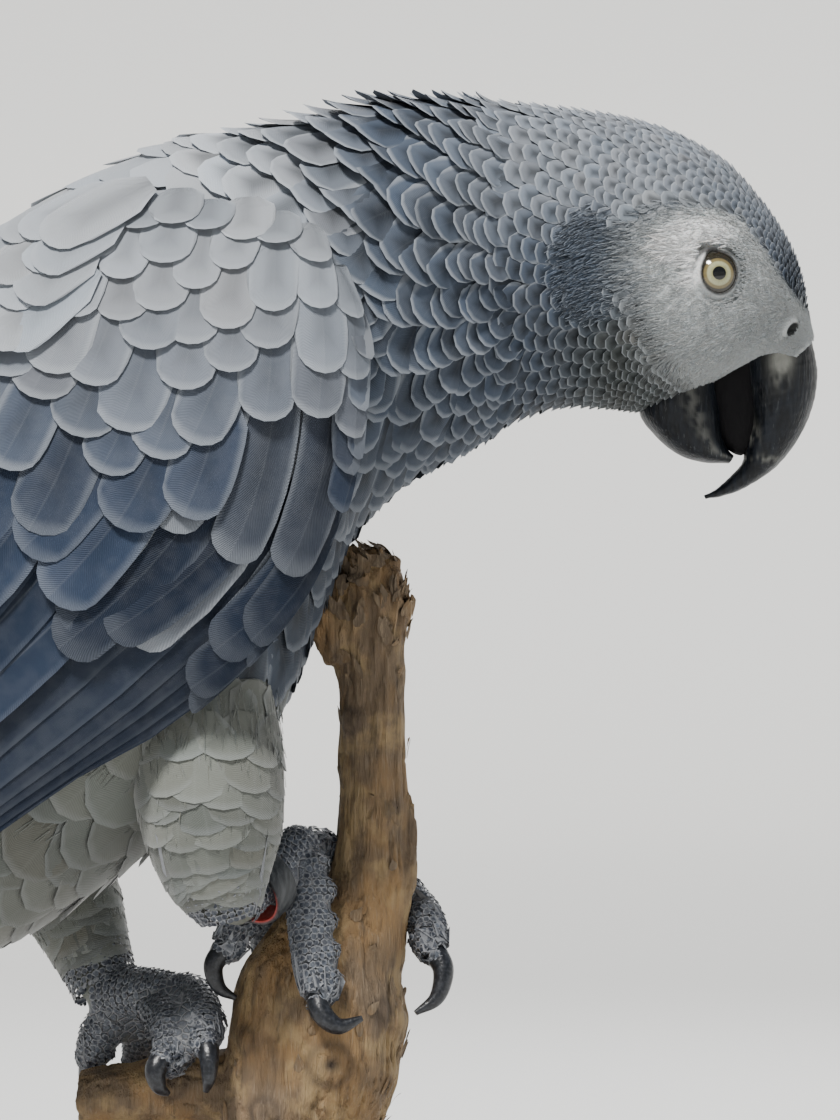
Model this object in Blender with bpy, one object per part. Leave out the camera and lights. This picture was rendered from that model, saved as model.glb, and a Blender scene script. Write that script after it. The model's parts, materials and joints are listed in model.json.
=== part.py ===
"""A still, life-size African grey parrot gripping a short cut of branch on a display stand.

The bird faces +X and its right side faces -Y.  All dimensions below are in millimetres and
every mesh is made in metres.  Body parts are lofts: rows of sizes are joined by a smooth
curve and a rounded section is carried along it.  The origin is the centre of the
underside of the stand's base.
"""
import math

import bmesh
import bpy
import numpy as np

MM = 0.001
GAP = 0.3  # clearance that neighbouring pieces keep
TOE_GAP = 0.45  # and toes, whose sides are steeper

# ---- body, from the tail coverts to the face -------------------------------------------
# back x, back z, belly x, belly z, half width
TRUNK_ROWS = (
    (-121.5, 96.0, -110.5, 82.0, 12.0),  # ends of the tail coverts
    (-110.0, 117.0, -93.5, 89.5, 17.5),
    (-98.0, 145.5, -76.5, 97.5, 24.5),  # rump and vent
    (-85.5, 180.0, -59.5, 106.5, 31.0),
    (-65.5, 218.0, -42.5, 117.5, 36.0),
    (-48.5, 240.5, -27.0, 126.0, 38.0),
    (-30.5, 254.5, -12.5, 136.5, 39.0),  # deepest part of the belly
    (-12.5, 263.0, 1.0, 149.0, 39.0),
    (3.5, 266.5, 11.5, 163.5, 38.0),  # shoulders
    (17.0, 269.0, 17.5, 179.0, 35.5),
    (29.0, 271.5, 23.5, 193.5, 32.0),  # breast
)
NECK_ROWS = (
    (39.5, 272.0, 32.0, 202.5, 28.5),
    (49.5, 271.5, 41.0, 207.5, 25.5),
    (60.0, 270.5, 50.5, 212.5, 23.0),
    (70.5, 269.0, 60.5, 216.0, 21.0),
    (80.0, 266.5, 69.5, 216.0, 20.0),  # nape and throat
)
HEAD_ROWS = (
    (90.5, 261.0, 76.5, 215.5, 19.5),  # crown and chin
    (97.5, 253.5, 83.5, 218.0, 18.5),
    (102.5, 246.0, 89.5, 221.0, 16.5),
    (105.0, 239.0, 95.0, 224.0, 13.5),
    (106.0, 232.5, 99.0, 224.5, 10.5),
    (107.0, 228.0, 102.0, 223.5, 8.2),  # cere, at the root of the bill
)
NECK_START = 10.5  # row at which the neck leaves the trunk
HEAD_START = 14.7  # row at which the head leaves the neck
BODY_POWER = 2.25  # 2 is an ellipse, more is boxier
BODY_AROUND = 24
WIDEST = 0.5  # height of the widest point, from belly to back

# ---- wings: upper edge x z, lower edge x z, then y at the upper edge, middle, lower edge ----
WING_ROWS = (
    (17.5, 249.5, 24.0, 240.0, 31.0, 33.5, 33.0),
    (13.0, 253.0, 27.5, 228.5, 31.0, 38.0, 36.0),
    (3.5, 255.0, 27.0, 216.0, 28.0, 41.0, 38.0),  # wrist
    (-7.0, 256.5, 24.0, 199.5, 24.0, 42.5, 38.5),
    (-20.0, 255.5, 17.5, 183.5, 19.0, 42.5, 38.5),
    (-32.5, 250.5, 7.5, 171.0, 12.0, 42.0, 38.5),
    (-47.0, 243.5, -6.5, 159.0, 5.0, 41.0, 38.0),
    (-61.0, 231.0, -23.5, 150.0, 0.8, 38.0, 37.0),
    (-73.5, 213.0, -43.0, 136.5, 0.6, 34.0, 35.0),
    (-84.5, 189.0, -63.0, 124.0, 0.6, 29.0, 32.0),
    (-93.5, 167.0, -81.0, 113.0, 0.6, 24.5, 28.0),
    (-101.5, 145.5, -98.0, 102.0, 0.6, 20.5, 24.0),
    (-111.5, 124.0, -113.5, 92.5, 0.6, 16.5, 20.5),
    (-124.0, 102.5, -128.0, 83.0, 0.6, 12.5, 16.5),
    (-137.5, 84.5, -140.5, 74.5, 0.6, 8.5, 12.0),
    (-150.0, 70.5, -151.0, 67.0, 2.0, 4.5, 6.0),  # wing tip
)
WING_EDGE = 1.4  # thickness at the feather edges
WING_MIDDLE = 5.0  # extra thickness in the middle of the folded wing

# ---- tail -----------------------------------------------------------------------------------
TAIL_ROOT = (-93.5, 112.5)
TAIL_TIP = (-147.5, 61.0)
# share of the length, thickness, half width
TAIL_ROWS = (
    (0.0, 11.0, 13.0),
    (0.35, 6.0, 19.0),
    (0.7, 3.6, 23.5),
    (0.93, 2.6, 25.5),
    (1.0, 2.0, 22.0),
)

# ---- bill: outer ridge x z, cutting edge x z, half width ----------------------------------
UPPER_BILL_ROWS = (
    (105.5, 231.5, 93.0, 227.5, 8.0),
    (107.0, 226.0, 94.0, 222.5, 8.3),
    (107.5, 221.5, 94.5, 217.5, 7.8),
    (106.5, 216.0, 95.0, 213.5, 7.0),
    (104.0, 210.5, 94.5, 209.5, 5.8),
    (100.0, 205.5, 94.0, 206.3, 4.2),
    (94.5, 201.8, 92.0, 204.0, 2.6),
    (90.5, 200.3, 89.3, 201.6, 1.5),
    (87.4, 199.8, 87.1, 200.4, 0.5),
)
LOWER_BILL_ROWS = (
    (90.5, 225.5, 77.5, 220.5, 7.6),
    (89.5, 221.0, 75.5, 215.5, 7.8),
    (90.3, 216.0, 78.5, 211.0, 7.4),
    (90.5, 211.5, 82.5, 207.8, 6.8),
    (91.2, 209.0, 86.8, 206.4, 5.8),
    (92.4, 207.6, 91.6, 206.2, 4.4),
)

# ---- eyes -----------------------------------------------------------------------------------
EYE_PLACE = (88.1, 14.4, 239.1)
EYE_RADIUS = 5.4

# ---- legs: x, y, z, radius along the bird, radius across ------------------------------------
THIGH_RIGHT = (
    (-2.0, -19.0, 166.0, 13.2, 12.0),
    (-1.5, -22.0, 152.0, 13.8, 13.0),
    (-0.5, -23.0, 140.5, 12.4, 12.0),
    (0.3, -23.5, 134.0, 10.2, 8.8),
    (1.4, -23.5, 129.5, 8.0, 6.8),
    (2.5, -23.0, 125.3, 5.4, 4.8),
)
THIGH_LEFT = (
    (-36.0, 17.0, 143.0, 12.0, 11.0),
    (-32.0, 19.0, 134.0, 11.0, 10.5),
    (-27.5, 18.5, 125.5, 9.4, 9.0),
    (-24.0, 16.0, 117.5, 7.4, 7.4),
    (-21.0, 13.0, 110.5, 6.3, 6.3),
)
TARSUS_RIGHT = (
    (2.5, -22.5, 127.5, 5.0, 5.2),
    (6.0, -18.0, 130.0, 4.2, 4.4),
    (10.0, -13.0, 133.5, 3.8, 4.0),
    (13.5, -8.5, 137.0, 4.3, 4.4),
    (15.0, -6.0, 138.2, 3.6, 3.8),
)
TARSUS_LEFT = (
    (-21.5, 13.0, 110.0, 6.5, 6.5),
    (-17.5, 10.0, 110.3, 5.2, 5.2),
    (-13.0, 7.0, 110.5, 4.7, 4.7),
    (-9.0, 4.5, 110.5, 4.2, 4.2),
)
LEG_RING = (7.2, -15.6, 131.0)  # centre of the leg ring, on the right tarsus
RING_BORE = 5.6
RING_OUTER = 6.7
RING_WIDTH = 5.5

# ---- toes and claws: x, y, z, radius ----------------------------------------------------------
TOES = {
    "toe_right_inner": ((14.3, -8.5, 137.5, 3.6), (15.6, -10.8, 131.5, 3.9),
                        (16.0, -12.2, 125.0, 4.0), (16.8, -13.6, 118.5, 3.9),
                        (18.2, -14.8, 112.0, 3.4)),
    "toe_right_outer": ((16.5, -3.5, 138.0, 3.4), (18.0, 5.0, 136.0, 3.6),
                        (24.5, 11.0, 132.5, 3.6), (33.0, 9.5, 128.5, 3.5),
                        (37.5, 3.5, 123.5, 3.4), (38.0, -0.5, 119.0, 3.1)),
    "toe_right_hind": ((12.0, -4.0, 135.5, 3.4), (8.0, -3.0, 130.0, 3.6),
                       (3.8, -3.5, 125.0, 3.5), (1.6, -4.5, 119.5, 3.1)),
    "toe_right_far": ((13.0, -1.0, 136.5, 3.3), (10.5, 6.0, 131.5, 3.5),
                      (8.0, 11.5, 125.0, 3.4), (8.5, 14.5, 117.5, 3.1)),
    "toe_left_inner": ((-12.5, 5.0, 108.0, 3.6), (-9.8, -1.0, 106.5, 3.8),
                       (-8.6, -5.0, 102.5, 3.6), (-8.6, -6.8, 99.0, 3.2)),
    "toe_left_outer": ((-10.0, 5.5, 110.5, 3.4), (-5.5, 3.0, 110.8, 3.6),
                       (-2.8, -3.0, 107.5, 3.5), (-2.6, -8.0, 103.0, 3.1)),
    "toe_left_hind": ((-19.5, 10.0, 106.5, 3.5), (-22.6, 12.0, 103.0, 3.5),
                      (-23.8, 14.5, 98.5, 3.1)),
    "toe_left_far": ((-14.5, 10.0, 107.5, 3.5), (-15.0, 15.0, 104.0, 3.5),
                     (-15.5, 18.0, 98.0, 3.1)),
}
CLAWS = {
    "claw_right_inner": ((18.0, -15.2, 111.5, 2.3), (18.6, -17.0, 108.4, 2.0),
                         (21.6, -18.0, 106.2, 1.5), (25.8, -17.6, 107.6, 0.5)),
    "claw_right_outer": ((38.6, -0.8, 118.5, 2.2), (40.2, -2.5, 115.0, 1.9),
                         (39.0, -4.0, 110.3, 1.4), (35.2, -5.0, 107.6, 0.5)),
    "claw_right_hind": ((0.8, -5.0, 119.0, 2.1), (-1.0, -5.4, 116.0, 1.8),
                        (0.0, -5.6, 112.3, 1.3), (3.0, -5.6, 110.3, 0.5)),
    "claw_right_far": ((8.2, 15.2, 117.0, 2.1), (8.4, 16.8, 113.5, 1.8),
                       (10.0, 16.6, 110.0, 1.3), (12.6, 15.2, 108.5, 0.5)),
    "claw_left_inner": ((-9.6, -7.8, 100.2, 2.3), (-11.2, -9.4, 97.6, 2.0),
                        (-10.6, -9.6, 94.8, 1.4), (-8.9, -8.8, 93.4, 0.5)),
    "claw_left_outer": ((-2.2, -8.8, 102.4, 2.1), (-1.6, -11.0, 100.0, 1.8),
                        (-1.6, -12.0, 96.5, 1.3), (-2.2, -11.4, 94.0, 0.5)),
    "claw_left_hind": ((-24.0, 15.2, 98.0, 2.1), (-24.6, 16.6, 94.5, 1.8),
                       (-24.4, 16.2, 91.0, 1.3), (-23.6, 14.6, 88.8, 0.5)),
    "claw_left_far": ((-15.6, 18.8, 97.5, 2.1), (-15.8, 20.0, 94.0, 1.8),
                      (-15.8, 19.4, 90.5, 1.3), (-15.8, 17.6, 88.0, 0.5)),
}

# ---- perch: x, y, z, radius along the bird, radius across ------------------------------------
PERCH_TRUNK = (
    (13.5, 2.0, 58.0, 11.5, 11.5),  # saw cut
    (13.5, 2.0, 65.0, 12.3, 12.0),
    (14.0, 1.9, 76.0, 13.2, 12.8),
    (14.5, 1.5, 88.0, 14.8, 14.0),
    (17.0, 1.2, 99.0, 16.0, 15.0),  # fork of the stem and the stub
    (18.4, 0.8, 109.5, 16.0, 14.6),
    (21.0, 0.4, 117.0, 13.4, 12.8),
    (24.3, 0.0, 123.0, 10.2, 10.2),
    (26.6, 0.0, 129.0, 7.8, 8.0),
)
PERCH_STEM = (
    (26.6, 0.0, 129.5, 7.8, 8.0),
    (27.4, 0.0, 138.0, 6.7, 6.8),
    (27.5, 0.0, 153.0, 6.2, 6.4),
    (27.3, 0.0, 168.0, 6.5, 6.3),
    (26.0, 0.0, 176.5, 8.6, 6.6),  # broken top
    (25.8, 0.0, 182.5, 8.8, 6.2),
    (26.3, 0.0, 186.5, 6.4, 5.0),
    (24.2, 0.0, 189.5, 3.4, 3.4),
    (23.0, 0.0, 191.5, 1.4, 1.6),
)
PERCH_STUB = (
    (14.0, 4.0, 92.0, 8.5, 8.0),
    (4.0, 5.0, 93.0, 8.0, 8.0),
    (-8.0, 6.0, 92.5, 7.0, 7.2),
    (-19.0, 7.0, 91.5, 6.6, 6.8),
    (-25.5, 7.5, 91.0, 5.4, 5.6),
)

# ---- stand -----------------------------------------------------------------------------------
BASE_RADIUS = 78.0
BASE_HEIGHT = 12.0
BASE_ROUNDING = 2.0
ROD_RADIUS = 4.0
ROD_PLACE = (13.5, 2.0)

COLOURS = {
    "feather_grey": ((0.17, 0.20, 0.26, 1.0), 0.75, 0.0),
    "feather_pale": ((0.42, 0.43, 0.42, 1.0), 0.8, 0.0),
    "feather_red": ((0.45, 0.02, 0.02, 1.0), 0.7, 0.0),
    "bill_black": ((0.02, 0.025, 0.03, 1.0), 0.35, 0.0),
    "eye_pale": ((0.6, 0.57, 0.35, 1.0), 0.08, 0.0),
    "scale_grey": ((0.13, 0.14, 0.15, 1.0), 0.6, 0.0),
    "claw_black": ((0.015, 0.015, 0.018, 1.0), 0.3, 0.0),
    "ring_metal": ((0.35, 0.36, 0.38, 1.0), 0.35, 1.0),
    "branch_wood": ((0.32, 0.18, 0.09, 1.0), 0.8, 0.0),
    "stand_wood": ((0.05, 0.03, 0.02, 1.0), 0.4, 0.0),
    "stand_steel": ((0.3, 0.3, 0.3, 1.0), 0.35, 1.0),
}


BLANKS = {}  # each piece's shape before anything is cut from it


def clear_scene():
    """Remove whatever objects the scene starts with."""
    for item in list(bpy.data.objects):
        bpy.data.objects.remove(item, do_unlink=True)


def material(name):
    """The Principled material called name, made once."""
    found = bpy.data.materials.get(name)
    if found:
        return found
    colour, roughness, metallic = COLOURS[name]
    made = bpy.data.materials.new(name)
    made.use_nodes = True
    shader = made.node_tree.nodes["Principled BSDF"]
    shader.inputs["Base Color"].default_value = colour
    shader.inputs["Roughness"].default_value = roughness
    shader.inputs["Metallic"].default_value = metallic
    made.diffuse_color = colour
    return made


def smooth_rows(rows, places):
    """Read a table at fractional row numbers, along a smooth curve through its rows."""
    table = np.asarray(rows, float)
    last = len(table) - 1
    places = np.clip(np.asarray(places, float), 0.0, last)
    low = np.minimum(places.astype(int), last - 1)
    t = (places - low)[:, None]
    ends = np.vstack([2 * table[0] - table[1], table, 2 * table[-1] - table[-2]])
    a, b, c, d = ends[low], ends[low + 1], ends[low + 2], ends[low + 3]
    return 0.5 * (2 * b + (c - a) * t + (2 * a - 5 * b + 4 * c - d) * t ** 2
                  + (3 * b - a - 3 * c + d) * t ** 3)


def signed_power(values, power):
    """Raise the size of each value to a power and keep its sign."""
    return np.sign(values) * np.abs(values) ** power


def rib_grid(rows, places, around, power):
    """Rounded sections, each between an upper and a lower point of the middle plane."""
    ribs = smooth_rows(rows, places)
    top = ribs[:, None, 0:2]
    low = ribs[:, None, 2:4]
    angle = np.linspace(0.0, 2 * math.pi, around, endpoint=False)[None, :]
    up = signed_power(np.cos(angle), 2.0 / power)[..., None]
    side = signed_power(np.sin(angle), 2.0 / power)
    middle = low + WIDEST * (top - low)
    flat = middle + np.where(up > 0, up * (top - middle), up * (middle - low))
    y = ribs[:, None, 4] * side
    return np.stack([flat[..., 0], y, flat[..., 1]], axis=-1)


def tube_grid(rows, steps, around):
    """Elliptic sections square to a smooth path; rows hold x, y, z and two radii."""
    table = np.asarray(rows, float)
    places = np.linspace(0, len(table) - 1, steps)
    path = smooth_rows(table, places)
    run = np.gradient(path[:, :3], axis=0)
    run /= np.linalg.norm(run, axis=1)[:, None]
    across = np.cross(run, np.cross([0.0, 1.0, 0.0], run))
    weak = np.linalg.norm(across, axis=1) < 0.2
    across[weak] = np.cross(run[weak], [0.0, 0.0, 1.0])
    across /= np.linalg.norm(across, axis=1)[:, None]
    along = np.cross(across, run)
    angle = np.linspace(0.0, 2 * math.pi, around, endpoint=False)[None, :, None]
    ring = (path[:, None, 3:4] * np.cos(angle) * along[:, None]
            + path[:, None, 4:5] * np.sin(angle) * across[:, None])
    return path[:, None, :3] + ring


def tube_mesh(grid):
    """Points and faces of a closed tube with a flat cap on each end."""
    steps, around = grid.shape[:2]
    ring = np.arange(around)
    beside = np.roll(ring, -1)
    faces = []
    for step in range(steps - 1):
        a = step * around + ring
        b = step * around + beside
        faces += np.stack([a, b, b + around, a + around], axis=1).tolist()
    faces.append(ring[::-1].tolist())
    faces.append(((steps - 1) * around + ring).tolist())
    return grid.reshape(-1, 3), faces


def add_piece(name, points, faces, paint, origin=None, flip=False):
    """One closed object from points in millimetres, with its origin at the given place."""
    points = np.array(points, float)
    if flip:
        points[:, 1] *= -1
    centre = points.mean(axis=0) if origin is None else np.asarray(origin, float)
    if flip and origin is not None:
        centre = centre * (1, -1, 1)
    mesh = bpy.data.meshes.new(name)
    mesh.from_pydata(((points - centre) * MM).tolist(), [], faces)
    work = bmesh.new()
    work.from_mesh(mesh)
    bmesh.ops.recalc_face_normals(work, faces=work.faces)
    bmesh.ops.triangulate(work, faces=work.faces, quad_method="SHORT_EDGE")
    work.to_mesh(mesh)
    work.free()
    mesh.materials.append(material(paint))
    mesh.shade_smooth()
    mesh.set_sharp_from_angle(angle=math.radians(50))
    item = bpy.data.objects.new(name, mesh)
    item.location = centre * MM
    bpy.context.scene.collection.objects.link(item)
    BLANKS[name] = mesh
    return item


def grown_copy(item, by):
    """A hidden copy of a piece's uncut shape, pushed outward along its normals."""
    copy = bpy.data.objects.new(item.name + "_cutter", BLANKS[item.name].copy())
    copy.location = item.location
    copy.hide_render = True
    copy.display_type = "WIRE"
    mesh = copy.data
    count = len(mesh.vertices)
    place = np.empty(count * 3, np.float32)
    normal = np.empty(count * 3, np.float32)
    mesh.vertices.foreach_get("co", place)
    mesh.vertices.foreach_get("normal", normal)
    mesh.vertices.foreach_set("co", place + normal * by * MM)
    mesh.update()
    bpy.context.scene.collection.objects.link(copy)
    return copy


def body_volume(body):
    """Volume inside the triangles that the points of a body carry."""
    faces = {face for vert in body for face in vert.link_faces}
    total = 0.0
    for face in faces:
        a, b, c = (vert.co for vert in face.verts)
        total += a.dot(b.cross(c)) / 6
    return total


def connected(verts):
    """The points of a mesh, sorted into bodies that share edges."""
    left = set(verts)
    bodies = []
    while left:
        stack = [left.pop()]
        body = set(stack)
        while stack:
            for edge in stack.pop().link_edges:
                for other in edge.verts:
                    if other in left:
                        left.discard(other)
                        body.add(other)
                        stack.append(other)
        bodies.append(body)
    return bodies


def keep_largest(mesh):
    """Leave only the body with the most volume; give that volume, or 0 if it isn't closed."""
    work = bmesh.new()
    work.from_mesh(mesh)
    bmesh.ops.remove_doubles(work, verts=work.verts, dist=0.000002)
    bmesh.ops.triangulate(work, faces=work.faces)
    bodies = sorted(connected(work.verts), key=body_volume)
    spare = [vert for body in bodies[:-1] for vert in body]
    bmesh.ops.delete(work, geom=spare, context="VERTS")
    closed = all(len(edge.link_faces) == 2 for edge in work.edges)
    volume = body_volume(work.verts) if closed else 0.0
    work.to_mesh(mesh)
    work.free()
    return volume


def boxes_meet(item, cutter):
    """Whether the bounds of two pieces overlap."""
    spans = []
    for one in (item, cutter):
        places = np.array([corner[:] for corner in one.bound_box]) + np.array(one.location)
        spans.append((places.min(axis=0), places.max(axis=0)))
    (low_a, high_a), (low_b, high_b) = spans
    return bool((low_a < high_b).all() and (low_b < high_a).all())


def carve_one(item, other, clearance):
    """Cut one grown shape out of a piece; give whether the result is sound."""
    cutter = grown_copy(other, clearance)
    bpy.context.view_layer.update()
    if not boxes_meet(item, cutter):
        bpy.data.objects.remove(cutter, do_unlink=True)
        return True
    before = item.data.copy()
    volume = keep_largest(before)
    cut = item.modifiers.new("carve", "BOOLEAN")
    cut.operation = "DIFFERENCE"
    cut.solver = "EXACT"
    cut.object = cutter
    bpy.context.view_layer.update()
    graph = bpy.context.evaluated_depsgraph_get()
    mesh = bpy.data.meshes.new_from_object(item.evaluated_get(graph))
    after = keep_largest(mesh)
    item.modifiers.clear()
    bpy.data.objects.remove(cutter, do_unlink=True)
    if not 0.02 * volume < after < 1.0001 * volume:
        return False
    item.data = mesh
    return True


def carve(item, others, clearance=GAP):
    """Cut the grown shapes of other pieces out of a piece, so that a thin gap stays."""
    for other in others:
        tries = (clearance * (1 + 0.03 * k) for k in range(8))
        if not any(carve_one(item, other, each) for each in tries):
            raise RuntimeError(item.name + " can't be fitted to " + other.name)


def body_piece(name, first, last, steps, paint="feather_grey"):
    """A length of the body between two row numbers."""
    rows = TRUNK_ROWS + NECK_ROWS + HEAD_ROWS
    places = np.linspace(first, last, steps)
    points, faces = tube_mesh(rib_grid(rows, places, BODY_AROUND, BODY_POWER))
    return add_piece(name, points, faces, paint)


def gap_in_rows(row):
    """The step in row number that is one gap long at the given row."""
    rows = TRUNK_ROWS + NECK_ROWS + HEAD_ROWS
    ends = smooth_rows(rows, [row, row + 0.01])[:, :4]
    shortest = min(np.linalg.norm(ends[1, :2] - ends[0, :2]),
                   np.linalg.norm(ends[1, 2:] - ends[0, 2:]))
    return 0.01 * GAP / shortest


def wing_grid(steps, across):
    """Outer and inner faces of the folded wing, which curves over the side of the body."""
    rows = smooth_rows(WING_ROWS, np.linspace(0, len(WING_ROWS) - 1, steps))
    v = np.linspace(0.0, 1.0, across)[None, :]
    x = rows[:, 0:1] * (1 - v) + rows[:, 2:3] * v
    z = rows[:, 1:2] * (1 - v) + rows[:, 3:4] * v
    y = (rows[:, 4:5] * (1 - v) * (1 - 2 * v) + rows[:, 5:6] * 4 * v * (1 - v)
         + rows[:, 6:7] * v * (2 * v - 1))
    outer = np.stack([x, -y, z], axis=-1)
    normal = np.cross(np.gradient(outer, axis=0), np.gradient(outer, axis=1))
    normal /= np.linalg.norm(normal, axis=2)[..., None]
    normal *= -np.sign(normal[..., 1:2])
    u = np.linspace(0.0, 1.0, steps)[:, None]
    thick = WING_EDGE + WING_MIDDLE * (1 - (2 * v - 1) ** 2) * (1 - 0.75 * u)
    thick = thick * np.clip(0.5 + 6 * u, 0, 1)
    inner = outer - normal * thick[..., None]
    outer[..., 1] = np.minimum(outer[..., 1], -GAP / 2)
    inner[..., 1] = np.minimum(inner[..., 1], -GAP / 2)
    return outer, inner


def wing(name, flip):
    """A folded wing, from its leading edge to its tip."""
    outer, inner = wing_grid(20, 7)
    loop = np.concatenate([outer, inner[:, ::-1]], axis=1)
    points, faces = tube_mesh(loop)
    return add_piece(name, points, faces, "feather_grey", (10.0, -36.0, 235.0), flip)


def tail():
    """The closed tail: a flat fan, thick at its root and thin at its tips."""
    root = np.array(TAIL_ROOT)
    run = np.array(TAIL_TIP) - root
    normal = np.array([run[1], -run[0]]) / np.linalg.norm(run)
    rows = []
    for share, thick, half in TAIL_ROWS:
        middle = root + run * share
        high = middle + normal * thick / 2
        low = middle - normal * thick / 2
        rows.append((high[0], high[1], low[0], low[1], half))
    grid = rib_grid(rows, np.linspace(0, len(rows) - 1, 8), 16, 2.6)
    drop = (grid[..., 1] / 26.0) ** 2 * 3.0
    grid[..., 2] -= drop
    points, faces = tube_mesh(grid)
    return add_piece("tail", points, faces, "feather_red")


def limb(name, rows, steps, around, paint):
    """A leg part along its path."""
    points, faces = tube_mesh(tube_grid(rows, steps, around))
    return add_piece(name, points, faces, paint)


def digit(name, rows, steps, around, paint):
    """A toe or a claw: a round tube whose radius follows its table."""
    rows = [row + (row[3],) for row in rows]
    return limb(name, rows, steps, around, paint)


def ball(name, place, radius, paint, segments, rings):
    """A round solid."""
    mesh = bpy.data.meshes.new(name)
    work = bmesh.new()
    bmesh.ops.create_uvsphere(work, u_segments=segments, v_segments=rings, radius=radius * MM)
    work.to_mesh(mesh)
    work.free()
    mesh.materials.append(material(paint))
    mesh.shade_smooth()
    item = bpy.data.objects.new(name, mesh)
    item.location = [value * MM for value in place]
    bpy.context.scene.collection.objects.link(item)
    BLANKS[name] = mesh
    return item


def leg_ring(along):
    """The closed metal ring round the right tarsus, turned to lie square to it."""
    profile = ((RING_BORE, -0.5), (RING_OUTER, -0.5), (RING_OUTER, 0.5), (RING_BORE, 0.5))
    count = 20
    along = np.asarray(along, float) / np.linalg.norm(along)
    first = np.cross(along, [0.0, 0.0, 1.0])
    first /= np.linalg.norm(first)
    second = np.cross(along, first)
    angle = np.linspace(0, 2 * math.pi, count, endpoint=False)
    points = []
    for a in angle:
        out = first * math.cos(a) + second * math.sin(a)
        for radius, share in profile:
            points.append(np.array(LEG_RING) + out * radius + along * share * RING_WIDTH)
    faces = []
    for k in range(count):
        here = 4 * k
        there = 4 * ((k + 1) % count)
        for side in range(4):
            beside = (side + 1) % 4
            faces.append((here + side, here + beside, there + beside, there + side))
    return add_piece("leg_ring", np.array(points), faces, "ring_metal", LEG_RING)


def turned(name, profile, place, paint, count=48):
    """A solid turned about a vertical axis from radius and height pairs."""
    angle = np.linspace(0, 2 * math.pi, count, endpoint=False)
    rings = [np.stack([radius * np.cos(angle) + place[0], radius * np.sin(angle) + place[1],
                       np.full(count, height)], axis=1) for radius, height in profile]
    points, faces = tube_mesh(np.array(rings))
    return add_piece(name, points, faces, paint, (place[0], place[1], profile[0][1]))


def make_body():
    """Trunk, neck and head, with the wings, tail and thighs let into the trunk."""
    cap = len(TRUNK_ROWS + NECK_ROWS + HEAD_ROWS) - 1
    trunk = body_piece("trunk", 0, NECK_START, 18)
    body_piece("neck", NECK_START + gap_in_rows(NECK_START), HEAD_START, 7)
    head = body_piece("head", HEAD_START + gap_in_rows(HEAD_START), cap, 12)
    wings = [wing("wing_right", False), wing("wing_left", True)]
    fan = tail()
    right = limb("thigh_right", THIGH_RIGHT, 8, 14, "feather_pale")
    left = limb("thigh_left", THIGH_LEFT, 7, 14, "feather_pale")
    carve(fan, [trunk] + wings)
    carve(right, [trunk, wings[0]])
    carve(left, [trunk, wings[1]])
    carve(trunk, wings)
    return trunk, head, wings, right, left


def make_face(head):
    """Eyes in their sockets and the two halves of the bill."""
    eyes = []
    for name, side in (("eye_right", -1), ("eye_left", 1)):
        place = (EYE_PLACE[0], side * EYE_PLACE[1], EYE_PLACE[2])
        eyes.append(ball(name, place, EYE_RADIUS, "eye_pale", 14, 8))
    upper_grid = rib_grid(UPPER_BILL_ROWS, np.linspace(0, 8, 12), 12, 2.2)
    lower_grid = rib_grid(LOWER_BILL_ROWS, np.linspace(0, 5, 7), 12, 2.4)
    upper = add_piece("bill_upper", *tube_mesh(upper_grid), "bill_black")
    lower = add_piece("bill_lower", *tube_mesh(lower_grid), "bill_black")
    carve(lower, [upper, head])
    carve(upper, [head])
    carve(head, eyes)


def make_perch():
    """The cut branch: its trunk, upright stem and side stub."""
    trunk = limb("perch_trunk", PERCH_TRUNK, 12, 16, "branch_wood")
    stem = limb("perch_stem", PERCH_STEM, 12, 14, "branch_wood")
    stub = limb("perch_stub", PERCH_STUB, 6, 14, "branch_wood")
    carve(stem, [trunk])
    carve(stub, [trunk])
    return [trunk, stem, stub]


def make_feet(right, left, perch):
    """Shanks, toes and claws, each let into what it grows from or holds."""
    shank_right = limb("tarsus_right", TARSUS_RIGHT, 7, 12, "scale_grey")
    shank_left = limb("tarsus_left", TARSUS_LEFT, 6, 12, "scale_grey")
    ring = leg_ring(np.array(TARSUS_RIGHT[2][:3]) - np.array(TARSUS_RIGHT[1][:3]))
    carve(right, [ring])
    carve(shank_right, [right])
    carve(shank_left, [left])
    for side, held in (("right", [shank_right, ring]), ("left", [shank_left])):
        done = list(held)
        for toe in ("inner", "outer", "hind", "far"):
            name = "toe_" + side + "_" + toe
            item = digit(name, TOES[name], 6, 8, "scale_grey")
            carve(item, done + perch, TOE_GAP)
            done.append(item)
        toes = done[len(held):]
        for toe in ("inner", "outer", "hind", "far"):
            name = "claw_" + side + "_" + toe
            item = digit(name, CLAWS[name], 6, 6, "claw_black")
            carve(item, toes + perch)


def make_stand():
    """A round base and one upright rod under the branch."""
    edge = BASE_ROUNDING
    profile = ((BASE_RADIUS, 0.0), (BASE_RADIUS, BASE_HEIGHT - edge),
               (BASE_RADIUS - edge * 0.3, BASE_HEIGHT - edge * 0.3),
               (BASE_RADIUS - edge, BASE_HEIGHT))
    turned("stand_base", profile, (0.0, 0.0), "stand_wood", 36)
    top = PERCH_TRUNK[0][2] - GAP
    rod = ((ROD_RADIUS, BASE_HEIGHT + GAP), (ROD_RADIUS, top))
    turned("stand_rod", rod, ROD_PLACE, "stand_steel", 16)


def gather():
    """Parent every piece to one empty at the origin."""
    root = bpy.data.objects.new("parrot_on_stand", None)
    bpy.context.scene.collection.objects.link(root)
    for item in list(bpy.data.objects):
        if item is not root:
            item.parent = root


def main():
    """Build the whole model."""
    clear_scene()
    trunk, head, wings, right, left = make_body()
    make_face(head)
    perch = make_perch()
    carve(trunk, perch)
    make_feet(right, left, perch)
    make_stand()
    gather()


main()
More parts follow.
